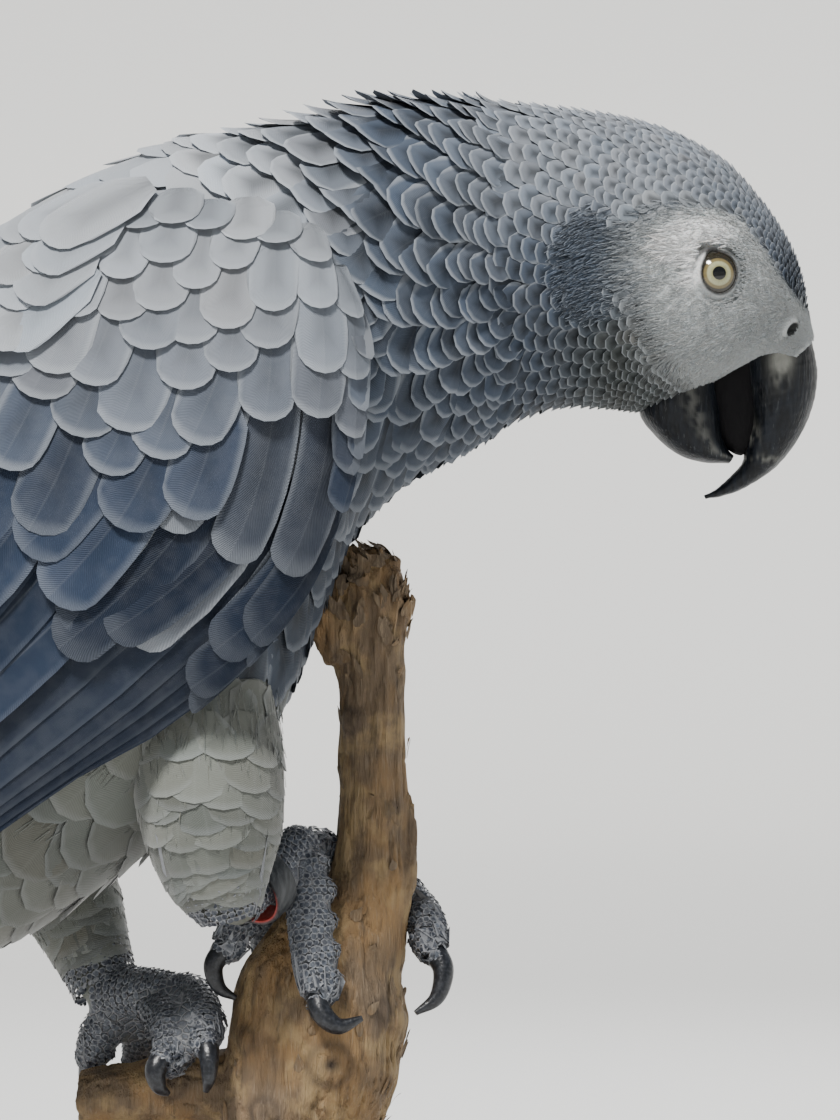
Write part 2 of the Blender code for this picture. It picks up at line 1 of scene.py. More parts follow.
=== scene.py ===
"""Still, life-size African grey parrot on a short cut branch and a plain display stand.

The bird faces +X with its right side towards -Y.  Tables and lengths are in millimetres and
every mesh is made in metres.  One skin lies under the coat.  Feathers and scales are closed
vanes laid in rows over smooth surfaces, and their colours come from one marking function.
"""
import json
import math

import bmesh
import bpy
import numpy as np
from bpy.props import FloatProperty, FloatVectorProperty, IntProperty, PointerProperty
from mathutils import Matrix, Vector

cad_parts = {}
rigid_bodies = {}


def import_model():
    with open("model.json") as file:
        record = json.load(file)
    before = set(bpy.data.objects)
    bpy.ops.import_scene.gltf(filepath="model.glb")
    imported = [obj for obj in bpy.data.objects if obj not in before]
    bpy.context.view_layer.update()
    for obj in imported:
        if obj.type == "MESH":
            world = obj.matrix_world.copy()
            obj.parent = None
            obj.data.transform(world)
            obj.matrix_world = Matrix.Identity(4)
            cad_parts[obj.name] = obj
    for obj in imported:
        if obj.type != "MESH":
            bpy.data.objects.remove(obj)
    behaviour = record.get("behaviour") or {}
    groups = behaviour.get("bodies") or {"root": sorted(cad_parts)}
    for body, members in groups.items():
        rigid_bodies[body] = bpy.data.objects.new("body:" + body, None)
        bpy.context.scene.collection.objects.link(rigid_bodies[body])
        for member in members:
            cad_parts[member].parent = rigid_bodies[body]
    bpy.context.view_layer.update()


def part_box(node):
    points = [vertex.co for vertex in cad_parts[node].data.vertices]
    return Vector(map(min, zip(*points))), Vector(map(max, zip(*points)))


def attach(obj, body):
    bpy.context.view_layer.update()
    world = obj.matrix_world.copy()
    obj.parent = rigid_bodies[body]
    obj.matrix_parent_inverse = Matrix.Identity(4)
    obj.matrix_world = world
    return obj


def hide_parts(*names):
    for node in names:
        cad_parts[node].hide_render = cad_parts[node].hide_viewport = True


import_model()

bl_info = {
    "name": "Grey parrot on a stand",
    "version": (1, 0, 0),
    "blender": (4, 5, 0),
    "location": "3D View > Sidebar > Parrot",
    "description": "Builds the skin, coat, bill, eyes, feet, perch and stand of a grey parrot",
    "category": "Add Mesh",
}

MM = 0.001
TURN = 2 * math.pi

# body: back x, back z, belly x, belly z, half width
BODY_ROWS = (
    (-121.5, 96, -110.5, 82, 12), (-110, 117, -93.5, 89.5, 17.5), (-98, 145.5, -76.5, 97.5, 24.5),
    (-85.5, 180, -59.5, 106.5, 31), (-65.5, 218, -42.5, 117.5, 36), (-48.5, 240.5, -27, 126, 38),
    (-30.5, 254.5, -12.5, 136.5, 39), (-12.5, 263, 1, 149, 39), (3.5, 266.5, 11.5, 163.5, 38),
    (17, 269, 17.5, 179, 35.5), (29, 271.5, 23.5, 193.5, 32), (39.5, 272, 32, 202.5, 28.5),
    (49.5, 271.5, 41, 207.5, 25.5), (60, 270.5, 50.5, 212.5, 23), (70.5, 269, 60.5, 216, 21),
    (80, 266.5, 69.5, 216, 20), (90.5, 261, 76.5, 215.5, 19.5), (97.5, 253.5, 83.5, 218, 18.5),
    (102.5, 246, 89.5, 221, 16.5), (105, 239, 95, 224, 13.5), (106, 232.5, 99, 224.5, 10.5),
    (107, 228, 102, 223.5, 8.2),
)
BODY_POWER = 2.25
LAST_ROW = len(BODY_ROWS) - 1

# wing: upper edge x z, lower edge x z, y at the upper edge, middle, lower edge
WING_ROWS = (
    (17.5, 249.5, 24, 240, 31, 33.5, 33), (13, 253, 27.5, 228.5, 31, 38, 36),
    (3.5, 255, 27, 216, 28, 41, 38), (-7, 256.5, 24, 199.5, 24, 42.5, 38.5),
    (-20, 255.5, 17.5, 183.5, 19, 42.5, 38.5), (-32.5, 250.5, 7.5, 171, 12, 42, 38.5),
    (-47, 243.5, -6.5, 159, 5, 41, 38), (-61, 231, -23.5, 150, 0.8, 38, 37),
    (-73.5, 213, -43, 136.5, 0.6, 34, 35), (-84.5, 189, -63, 124, 0.6, 29, 32),
    (-93.5, 167, -81, 113, 0.6, 24.5, 28), (-101.5, 145.5, -98, 102, 0.6, 20.5, 24),
    (-111.5, 124, -113.5, 92.5, 0.6, 16.5, 20.5), (-124, 102.5, -128, 83, 0.6, 12.5, 16.5),
    (-137.5, 84.5, -140.5, 74.5, 0.6, 8.5, 12), (-150, 70.5, -151, 67, 2, 4.5, 6),
)
WING_EDGE = 1.4
WING_MIDDLE = 5.0

# tail: root and tip of its middle line, then share, thickness, half width
TAIL_ROOT = (-93.5, 112.5)
TAIL_TIP = (-147.5, 61.0)
TAIL_ROWS = ((0, 11, 13), (0.35, 6, 19), (0.7, 3.6, 23.5), (0.93, 2.6, 25.5), (1, 2, 22))

# bill: outer ridge x z, cutting edge x z, half width
UPPER_BILL_ROWS = (
    (105.5, 231.5, 93, 227.5, 8), (107, 226, 94, 222.5, 8.3), (107.5, 221.5, 94.5, 217.5, 7.8),
    (106.5, 216, 95, 213.5, 7), (104, 210.5, 94.5, 209.5, 5.8), (100, 205.5, 94, 206.3, 4.2),
    (94.5, 201.8, 92, 204, 2.6), (90.5, 200.3, 89.3, 201.6, 1.5), (87.4, 199.8, 87.1, 200.4, 0.5),
)
LOWER_BILL_ROWS = (
    (90.5, 225.5, 77.5, 220.5, 7.6), (89.5, 221, 75.5, 215.5, 7.8), (90.3, 216, 78.5, 211, 7.4),
    (90.5, 211.5, 82.5, 207.8, 6.8), (91.2, 209, 86.8, 206.4, 5.8), (92.4, 207.6, 91.6, 206.2, 4.4),
)

EYE_PLACE = (88.1, 14.4, 239.1)
EYE_RADIUS = 5.4
LID_PLACE = (89.0, 239.7)  # middle of the opening between the lids
LID_OPENING = (3.0, 3.5)
NOSTRIL = (102.5, 229.9)
NOSTRIL_TURN = 0.62

# bare face as an outline in x, z: pale skin with sparse fine hairs
FACE_OUTLINE = (
    (74, 247.5), (79, 251), (86.4, 251.8), (93.5, 249.8), (97.5, 244.5), (101.5, 237.5),
    (105.5, 232.5), (110, 226), (100, 219), (92, 221), (86.4, 218), (79.5, 224), (75.6, 232.5),
    (73.2, 241),
)
EAR_PLACE = (68.0, 241.5, 6.5, 9.5)  # x, z and half sizes of the dark hair-like ear coverts

# legs: x, y, z, radius along the bird, radius across
THIGH_RIGHT = (
    (-2, -19, 166, 13.2, 12), (-1.5, -22, 152, 13.8, 13), (-0.5, -23, 140.5, 12.4, 12),
    (0.3, -23.5, 134, 10.2, 8.8), (1.4, -23.5, 129.5, 8, 6.8), (2.5, -23, 125.3, 5.4, 4.8),
)
THIGH_LEFT = (
    (-36, 17, 143, 12, 11), (-32, 19, 134, 11, 10.5), (-27.5, 18.5, 125.5, 9.4, 9),
    (-24, 16, 117.5, 7.4, 7.4), (-21, 13, 110.5, 6.3, 6.3),
)
TARSUS_RIGHT = (
    (2.5, -22.5, 127.5, 5, 5.2), (6, -18, 130, 4.2, 4.4), (10, -13, 133.5, 3.8, 4),
    (13.5, -8.5, 137, 4.3, 4.4), (15, -6, 138.2, 3.6, 3.8),
)
TARSUS_LEFT = (
    (-21.5, 13, 110, 6.5, 6.5), (-17.5, 10, 110.3, 5.2, 5.2), (-13, 7, 110.5, 4.7, 4.7),
    (-9, 4.5, 110.5, 4.2, 4.2),
)
LEG_RING = (7.2, -15.6, 131.0)
RING_BORE = 5.6
RING_OUTER = 6.7
RING_WIDTH = 5.5
TOE_PAD = 1.9
PAD_SPACING = 5.6

# toes and claws: x, y, z, radius
TOES = {
    "right_inner": ((14.3, -8.5, 137.5, 3.6), (15.6, -10.8, 131.5, 3.9), (16, -12.2, 125, 4),
        (16.8, -13.6, 118.5, 3.9), (18.2, -14.8, 112, 3.4)),
    "right_outer": ((16.5, -3.5, 138, 3.4), (18, 5, 136, 3.6), (24.5, 11, 132.5, 3.6),
        (33, 9.5, 128.5, 3.5), (37.5, 3.5, 123.5, 3.4), (38, -0.5, 119, 3.1)),
    "right_hind": ((12, -4, 135.5, 3.4), (8, -3, 130, 3.6), (3.8, -3.5, 125, 3.5),
        (1.6, -4.5, 119.5, 3.1)),
    "right_far": ((13, -1, 136.5, 3.3), (10.5, 6, 131.5, 3.5), (8, 11.5, 125, 3.4),
        (8.5, 14.5, 117.5, 3.1)),
    "left_inner": ((-12.5, 5, 108, 3.6), (-9.8, -1, 106.5, 3.8), (-8.6, -5, 102.5, 3.6),
        (-8.6, -6.8, 99, 3.2)),
    "left_outer": ((-10, 5.5, 110.5, 3.4), (-5.5, 3, 110.8, 3.6), (-2.8, -3, 107.5, 3.5),
        (-2.6, -8, 103, 3.1)),
    "left_hind": ((-19.5, 10, 106.5, 3.5), (-22.6, 12, 103, 3.5), (-23.8, 14.5, 98.5, 3.1)),
    "left_far": ((-14.5, 10, 107.5, 3.5), (-15, 15, 104, 3.5), (-15.5, 18, 98, 3.1)),
}
CLAWS = {
    "right_inner": ((18, -15.2, 111.5, 2.3), (18.6, -17, 108.4, 2), (21.6, -18, 106.2, 1.5),
        (25.8, -17.6, 107.6, 0.5)),
    "right_outer": ((38.6, -0.8, 118.5, 2.2), (40.2, -2.5, 115, 1.9), (39, -4, 110.3, 1.4),
        (35.2, -5, 107.6, 0.5)),
    "right_hind": ((0.8, -5, 119, 2.1), (-1, -5.4, 116, 1.8), (0, -5.6, 112.3, 1.3),
        (3, -5.6, 110.3, 0.5)),
    "right_far": ((8.2, 15.2, 117, 2.1), (8.4, 16.8, 113.5, 1.8), (10, 16.6, 110, 1.3),
        (12.6, 15.2, 108.5, 0.5)),
    "left_inner": ((-9.6, -7.8, 100.2, 2.3), (-11.2, -9.4, 97.6, 2), (-10.6, -9.6, 94.8, 1.4),
        (-8.9, -8.8, 93.4, 0.5)),
    "left_outer": ((-2.2, -8.8, 102.4, 2.1), (-1.6, -11, 100, 1.8), (-1.6, -12, 96.5, 1.3),
        (-2.2, -11.4, 94, 0.5)),
    "left_hind": ((-24, 15.2, 98, 2.1), (-24.6, 16.6, 94.5, 1.8), (-24.4, 16.2, 91, 1.3),
        (-23.6, 14.6, 88.8, 0.5)),
    "left_far": ((-15.6, 18.8, 97.5, 2.1), (-15.8, 20, 94, 1.8), (-15.8, 19.4, 90.5, 1.3),
        (-15.8, 17.6, 88, 0.5)),
}

# perch: x, y, z, radius along the bird, radius across
PERCH_TRUNK = (
    (13.5, 2, 58, 11.5, 11.5), (13.5, 2, 65, 12.3, 12), (14, 1.9, 76, 13.2, 12.8),
    (14.5, 1.5, 88, 14.8, 14), (17, 1.2, 99, 16, 15), (18.4, 0.8, 109.5, 16, 14.6),
    (21, 0.4, 117, 13.4, 12.8), (24.3, 0, 123, 10.2, 10.2), (26.6, 0, 129, 7.8, 8),
    (27.4, 0, 138, 6.7, 6.8), (27.5, 0, 153, 6.2, 6.4), (27.3, 0, 168, 6.5, 6.3),
    (26, 0, 176.5, 8.6, 6.6), (25.8, 0, 182.5, 8.8, 6.2), (26.3, 0, 186.5, 6.4, 5),
    (24.2, 0, 189.5, 3.4, 3.4), (23, 0, 191.5, 1.4, 1.6),
)
PERCH_STUB = (
    (14, 4, 92, 8.5, 8), (4, 5, 93, 8, 8), (-8, 6, 92.5, 7, 7.2), (-19, 7, 91.5, 6.6, 6.8),
    (-25.5, 7.5, 91, 5.4, 5.6),
)


# ==== shapes as functions ====

def smooth_rows(rows, places):
    """Table values at fractional row numbers, on a Catmull-Rom curve through the rows."""
    table = np.asarray(rows, float)
    last = len(table) - 1
    places = np.clip(np.asarray(places, float), 0.0, last)
    low = np.minimum(places.astype(int), last - 1)
    t = (places - low)[..., None]
    ends = np.vstack([2 * table[0] - table[1], table, 2 * table[-1] - table[-2]])
    a, b, c, d = (ends[low + k] for k in range(4))
    return 0.5 * (2 * b + (c - a) * t + (2 * a - 5 * b + 4 * c - d) * t ** 2
                  + (3 * b - a - 3 * c + d) * t ** 3)


def ramp(low, high, value):
    """0 below low, 1 above high, and a smooth S between them."""
    t = np.clip((value - low) / (high - low), 0.0, 1.0)
    return t * t * (3 - 2 * t)


def signed_power(values, power):
    """The size of each value raised to a power, with its sign kept."""
    return np.sign(values) * np.abs(values) ** power


def bell(value, width):
    """1 where the value is zero, falling off on both sides over the width."""
    return np.exp(-(value / width) ** 2)


def unit(vectors):
    """Vectors of length one."""
    return vectors / np.maximum(np.linalg.norm(vectors, axis=-1, keepdims=True), 1e-9)


def rib_point(rows, power, u, v):
    """Rounded section at row u: v turns from the back over the left side; a superellipse."""
    ribs = smooth_rows(rows, u)
    top, low = ribs[..., 0:2], ribs[..., 2:4]
    angle = TURN * np.asarray(v)
    up = signed_power(np.cos(angle), 2.0 / power)[..., None]
    side = signed_power(np.sin(angle), 2.0 / power)
    flat = (top + low) / 2 + up * (top - low) / 2
    return np.stack([flat[..., 0], ribs[..., 4] * side, flat[..., 1]], axis=-1)


def body_point(u, v):
    """The body's surface at row u, from the tail coverts (0) to the cere, and v turns."""
    return rib_point(BODY_ROWS, BODY_POWER, u, v)


def body_sheet():
    """The body's half width on a 1 mm grid of x and z: the widest of many points, blurred."""
    u, v = np.meshgrid(np.linspace(0, LAST_ROW, 1400), np.linspace(0, 0.5, 600), indexing="ij")
    p = body_point(u, v)
    table = np.zeros((280, 240))
    cell = (np.rint(p[..., 0] + 150).astype(int), np.rint(p[..., 2] - 55).astype(int))
    np.maximum.at(table, cell, p[..., 1])
    for _ in range(4):
        table = (table + np.roll(table, 1, 0) + np.roll(table, -1, 0) + np.roll(table, 1, 1)
                 + np.roll(table, -1, 1)) / 5
    return table


BODY_SHEET = body_sheet()


def body_half(x, z):
    """The body's half width at x, z, between the four nearest values of the grid."""
    a, b = np.clip(x + 150, 0, 278), np.clip(z - 55, 0, 238)
    i, j = a.astype(int), b.astype(int)
    s, t = a - i, b - j
    return ((1 - s) * ((1 - t) * BODY_SHEET[i, j] + t * BODY_SHEET[i, j + 1])
            + s * ((1 - t) * BODY_SHEET[i + 1, j] + t * BODY_SHEET[i + 1, j + 1]))


def wing_point(u, v):
    """The right wing's outer face: u rows from the wrist, v from the upper to the lower edge.

    Its distance from the middle plane is a parabola through the table's three values, and a
    smooth maximum keeps it a little outside the body.
    """
    rows = smooth_rows(WING_ROWS, u)
    v = np.asarray(v, float)
    x = rows[..., 0] * (1 - v) + rows[..., 2] * v
    z = rows[..., 1] * (1 - v) + rows[..., 3] * v
    y = (rows[..., 4] * (1 - v) * (1 - 2 * v) + rows[..., 5] * 4 * v * (1 - v)
         + rows[..., 6] * v * (2 * v - 1))
    near = body_half(x, z) + 2.0
    y = 0.5 * (y + near + np.sqrt((y - near) ** 2 + 6.0))
    return np.stack([x, -np.maximum(y, 0.4), z], axis=-1)


def tail_rows():
    """The tail's table as ribs square to its middle line."""
    root = np.array(TAIL_ROOT)
    run = np.array(TAIL_TIP) - root
    normal = np.array([run[1], -run[0]]) / np.linalg.norm(run)
    rows = []
    for share, thick, half in TAIL_ROWS:
        middle, edge = root + run * share, normal * thick / 2
        rows.append((*(middle + edge), *(middle - edge), half))
    return rows


def tail_point(u, v):
    """The closed tail: flat ribs that droop at their edges with the square of the distance."""
    point = rib_point(tail_rows(), 2.6, u, v)
    point[..., 2] -= (point[..., 1] / 26.0) ** 2 * 3.0
    return point


def tube_surface(rows):
    """A function of row u and turn v that gives a tube of elliptic sections along a path."""
    table = np.asarray([row if len(row) == 5 else row + (row[3],) for row in rows], float)
    last = len(table) - 1

    def surface(u, v):
        u = np.asarray(u, float)
        path = smooth_rows(table, u)
        run = unit(smooth_rows(table, np.minimum(u + 0.05, last))[..., :3]
                   - smooth_rows(table, np.maximum(u - 0.05, 0))[..., :3])
        across = np.cross(run, np.cross([0.0, 1.0, 0.0], run))
        weak = np.linalg.norm(across, axis=-1, keepdims=True) < 0.2
        across = unit(np.where(weak, np.cross(run, [0.0, 0.0, 1.0]), across))
        along = np.cross(across, run)
        angle = TURN * np.asarray(v, float)[..., None]
        return (path[..., :3] + path[..., 3:4] * np.cos(angle) * along
                + path[..., 4:5] * np.sin(angle) * across)
    return surface


def toe_rows(key):
    """A toe's table with two more rows that close round the root of its claw."""
    first, second = np.array(CLAWS[key][0]), np.array(CLAWS[key][1])
    middle = first * 0.45 + second * 0.55
    return TOES[key] + ((*first[:3], first[3] + 0.55), (*middle[:3], middle[3] + 0.12))


def perch_middle(p):
    """The nearest point of the perch's middle lines, for each point."""
    line = np.concatenate([smooth_rows(rows, np.linspace(0, len(rows) - 1, 60))[:, :3]
                           for rows in (PERCH_TRUNK, PERCH_STUB)])
    return line[((p[..., None, :] - line) ** 2).sum(-1).argmin(axis=-1)]


def toe_surface(key):
    """A toe's tube with rounded pads on the side that faces the perch and a little forward.

    The bulge is TOE_PAD times the cosine of the angle to that side, to the power 1.5, times a
    flattened wave that repeats every PAD_SPACING along the toe and fades at both its ends.
    """
    rows = toe_rows(key)
    path = np.asarray(rows, float)[:, :3]
    tube = tube_surface(rows)
    run = np.concatenate([[0], np.cumsum(np.linalg.norm(np.diff(path, axis=0), axis=1))])

    def surface(u, v):
        p = tube(u, v)
        middle = smooth_rows(path, u)
        palm = unit((perch_middle(middle) - middle) * (1.0, 0.3, 1.0) + (6.0, 0.0, 0.0))
        out = unit(p - middle)
        facing = np.clip((out * palm).sum(-1), 0, 1) ** 1.5
        place = np.interp(u, np.arange(len(rows)), run)
        wave = (0.5 - 0.5 * np.cos(TURN * place / PAD_SPACING)) ** 0.6
        wave = wave * ramp(1.5, 4.0, place) * ramp(run[-1] - 2.5, run[-1] - 5, place)
        return p + out * (TOE_PAD * facing * wave)[..., None]
    return surface


def frame_at(surface, u, v, sense=1.0):
    """Point, the two tangents and the outward normal of a surface, by central differences."""
    du, dv = 0.02, 0.002
    pu = (surface(u + du, v) - surface(u - du, v)) / (2 * du)
    pv = (surface(u, v + dv) - surface(u, v - dv)) / (2 * dv)
    return surface(u, v), pu, pv, unit(np.cross(pu, pv)) * sense


def soft_limit(value, limit, soft):
    """A value held below a limit, rounded off near it: limit minus a softened difference."""
    return limit - soft * np.logaddexp(0.0, (limit - value) / soft)


def to_parameters(vector, pu, pv):
    """Steps in u and v that move a surface point by a tangent vector (inverse metric)."""
    e, f, g = (pu * pu).sum(-1), (pu * pv).sum(-1), (pv * pv).sum(-1)
    a, b = (vector * pu).sum(-1), (vector * pv).sum(-1)
    det = np.maximum(e * g - f * f, 1e-6)
    return (g * a - f * b) / det, (e * b - f * a) / det


def lattice_noise(points, size, seed=0):
    """Smooth noise from -1 to 1: random values on a grid of cells, blended inside each cell."""
    table = np.random.default_rng(seed).uniform(-1, 1, 4096)
    scaled = np.asarray(points, float) / size
    cell = np.floor(scaled).astype(np.int64)
    t = scaled - cell
    t = t * t * (3 - 2 * t)
    total = 0.0
    for corner in np.ndindex(2, 2, 2):
        key = np.bitwise_xor.reduce((cell + corner) * (73856093, 19349663, 83492791), axis=-1)
        total = total + table[key & 4095] * np.where(corner, t, 1 - t).prod(axis=-1)
    return total


def outline_distance(x, z, outline):
    """Distance in x, z to a closed outline, less than zero inside it."""
    shape = np.asarray(outline, float)
    best = np.full(np.shape(x), 1e9)
    inside = np.zeros(np.shape(x), bool)
    for (ax, az), (bx, bz) in zip(shape, np.roll(shape, -1, axis=0)):
        ex, ez = bx - ax, bz - az
        t = np.clip(((x - ax) * ex + (z - az) * ez) / (ex * ex + ez * ez), 0, 1)
        best = np.minimum(best, np.hypot(x - ax - t * ex, z - az - t * ez))
        crosses = (az > z) != (bz > z)
        run = np.where(crosses, (z - az) / (ez if ez else 1e-9) * ex + ax, 0)
        inside ^= crosses & (x < run)
    return np.where(inside, -best, best)


# ==== markings ====

def hue(key):
    """A plumage colour from the settings."""
    return np.array(getattr(bpy.context.scene.parrot, key))


def plain(key, p):
    """One colour from the settings for every point."""
    return np.broadcast_to(hue(key), p.shape)


def blend(colour, *coats):
    """Plumage colours laid over a colour: each is a name and a share for each point."""
    for key, share in coats:
        colour = colour + (hue(key) - colour) * share[..., None]
    return colour


def face_share(p):
    """1 on the bare face and 0 off it, with a soft edge towards the ear and the cheek."""
    x, z = p[..., 0], p[..., 2]
    soft = 0.8 + 4.6 * ramp(90, 76, x)
    front = np.maximum(ramp(3.0, 6.0, np.abs(p[..., 1])), ramp(241, 236, z))
    return ramp(1.0, -1.0, outline_distance(x, z, FACE_OUTLINE) / soft) * front


def ear_share(p):
    """1 on the dark ear coverts and 0 off them."""
    x, z, wide, high = EAR_PLACE
    return ramp(1.35, 0.55, np.hypot((p[..., 0] - x) / wide, (p[..., 2] - z) / high))


def brow_share(p):
    """1 on the pale tuft above and behind the eye, whose whiteness is partly painted light, and 0
    off it.
    """
    x, z = p[..., 0], p[..., 2]
    above = np.hypot((x - 84.6) / 6.5, (z - 245.4 - 0.15 * (x - 84.6)) / 3.6)
    behind = np.hypot((x - 85.2 - 0.3 * (z - 241.0)) / 1.8, (z - 241.0) / 4.2)
    return np.maximum(ramp(1.3, 0.7, above), ramp(1.3, 0.7, behind))


def marking(p):
    """Plumage and skin colour at each point of the bird, from where the point is, with painted
    light and shade: pale on top, darker low on the neck and belly, and a whitened brow.
    """
    x, z = p[..., 0], p[..., 2]
    # The mantle and crown on top are partly their own paler grey and partly painted light from
    # above.
    colour = blend(plain("neck", p), ("mantle", ramp(36, 6, x) * ramp(228, 250, z)),
                   ("crown", ramp(36, 66, x) * ramp(238, 258, z)),
                   ("cheek", ramp(56, 74, x) * ramp(240, 226, z)))
    # Painted shade: the lower neck, throat and cheek darken towards the bottom.
    colour = colour * (1 - 0.4 * ramp(238, 208, z) * ramp(80, 55, x))[..., None]
    # The belly grey is partly the plumage's own pale grey and partly painted shade of the
    # underside.
    colour = blend(colour, ("belly", ramp(182, 166, z + 0.6 * (x + 8))),
                   ("belly", ramp(24, 10, x) * ramp(180, 172, z)), ("rump", ramp(-60, -80, x)),
                   ("ear", 0.7 * ear_share(p)), ("face", face_share(p)))
    # The brow is whitened: partly its own pale hairs and partly painted light.
    colour = colour + 0.8 * brow_share(p)[..., None] * (0.92 - colour)
    return blend(colour, ("red", ramp(-96, -103, x) * ramp(150, 136, z)))


def linked(name, data):
    """A new object of the scene that holds this data."""
    item = bpy.data.objects.new(name, data)
    bpy.context.scene.collection.objects.link(item)
    return item


def merged(meshes):
    """Several meshes as one."""
    work = bmesh.new()
    for mesh in meshes:
        work.from_mesh(mesh)
    whole = bpy.data.meshes.new("part")
    work.to_mesh(whole)
    work.free()
    return whole


def closed_grid(grid, maps=None, tint=None):
    """A mesh from rings of points, with a flat cap on each end and normals turned outwards.

    maps and tint hold values for each point, for the vane map and the attribute tint.
    """
    index = np.arange(grid[..., 0].size).reshape(grid.shape[:2])
    beside = np.roll(index, -1, axis=1)
    quads = np.stack([index[:-1], beside[:-1], beside[1:], index[1:]], axis=-1).reshape(-1, 4)
    mesh = bpy.data.meshes.new("part")
    mesh.from_pydata((grid.reshape(-1, 3) * MM).tolist(), [],
                     quads.tolist() + [index[0, ::-1].tolist(), index[-1].tolist()])
    work = bmesh.new()
    work.from_mesh(mesh)
    bmesh.ops.recalc_face_normals(work, faces=work.faces)
    work.to_mesh(mesh)
    work.free()
    if maps is not None:
        set_map(mesh, "vane", np.stack([each.ravel() for each in maps], axis=-1), True)
    if tint is not None:
        set_tint(mesh, np.repeat(tint.reshape(-1, 1), 3, axis=1))
    return mesh


def place_mesh(name, mesh, paint, nodes=(), crease=60):
    """Link a mesh as a finished piece: smooth shading, material, body and nodes."""
    mesh.name = name
    mesh.shade_smooth()
    mesh.set_sharp_from_angle(angle=math.radians(crease))
    mesh.materials.clear()
    mesh.materials.append(finish(paint))
    item = linked(name, mesh)
    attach(item, "root")
    if nodes:
        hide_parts(*nodes)
    return item


def measured(mesh):
    """The vertices' places in millimetres, and their normals."""
    found = []
    for key in ("co", "normal"):
        flat = np.empty(len(mesh.vertices) * 3, np.float32)
        mesh.vertices.foreach_get(key, flat)
        found.append(flat.reshape(-1, 3).astype(float))
    return found[0] / MM, found[1]


def set_places(mesh, places):
    """Write vertex places given in millimetres."""
    mesh.vertices.foreach_set("co", (places * MM).astype(np.float32).ravel())
    mesh.update()


def set_map(mesh, name, values, by_vertex=False):
    """Write a UV map from a pair of values for each face corner, or for each vertex."""
    if by_vertex:
        index = np.empty(len(mesh.loops), np.int32)
        mesh.loops.foreach_get("vertex_index", index)
        values = values[index]
    mesh.uv_layers.new(name=name).uv.foreach_set("vector", values.astype(np.float32).ravel())


def set_tint(mesh, colours, alpha=1.0):
    """Write one colour for each vertex as the attribute tint; alpha marks scaly skin."""
    layer = mesh.color_attributes.new("tint", "FLOAT_COLOR", "POINT")
    rgba = np.empty((len(colours), 4))
    rgba[:, :3], rgba[:, 3] = colours, alpha
    layer.data.foreach_set("color", rgba.astype(np.float32).ravel())


def vane_template(steps, columns):
    """Faces of one closed vane: a top grid, a flat underside, and its two end walls."""
    row = np.arange((steps + 1) * (columns + 1)).reshape(steps + 1, columns + 1)
    top = np.stack([row[:-1, :-1], row[:-1, 1:], row[1:, 1:], row[1:, :-1]], axis=-1)
    under = np.stack([row[:-1, 0], row[1:, 0], row[1:, -1], row[:-1, -1]], axis=-1)
    return top.reshape(-1, 4).tolist() + under.tolist() + [row[-1].tolist(), row[0, ::-1].tolist()]


def vane_mesh(points, faces, shares, roots, tints):
    """One mesh of many vanes from points (vane, vertex, xyz) and the faces of one of them.

    shares are a vertex's shares along and across its vane.  The bake map puts each vane on a
    spot of its own, by its root.
    """
    count, size = points.shape[:2]
    corners = np.concatenate(faces)
    starts = np.cumsum([0] + [len(face) for face in faces[:-1]])
    every = corners + np.arange(count)[:, None] * size
    begin = starts + np.arange(count)[:, None] * len(corners)
    mesh = bpy.data.meshes.new("part")
    mesh.vertices.add(count * size)
    mesh.vertices.foreach_set("co", (points * MM).astype(np.float32).ravel())
    mesh.loops.add(every.size)
    mesh.loops.foreach_set("vertex_index", every.astype(np.int32).ravel())
    mesh.polygons.add(begin.size)
    mesh.polygons.foreach_set("loop_start", begin.astype(np.int32).ravel())
    mesh.update(calc_edges=True)
    vane = np.broadcast_to(shares[corners], (count, len(corners), 2))
    set_map(mesh, "vane", vane)
    set_map(mesh, "OFBake", 0.004 + 0.989 * roots[:, None, :] + 0.003 * vane)
    set_tint(mesh, np.repeat(tints, size, axis=0))
    return mesh


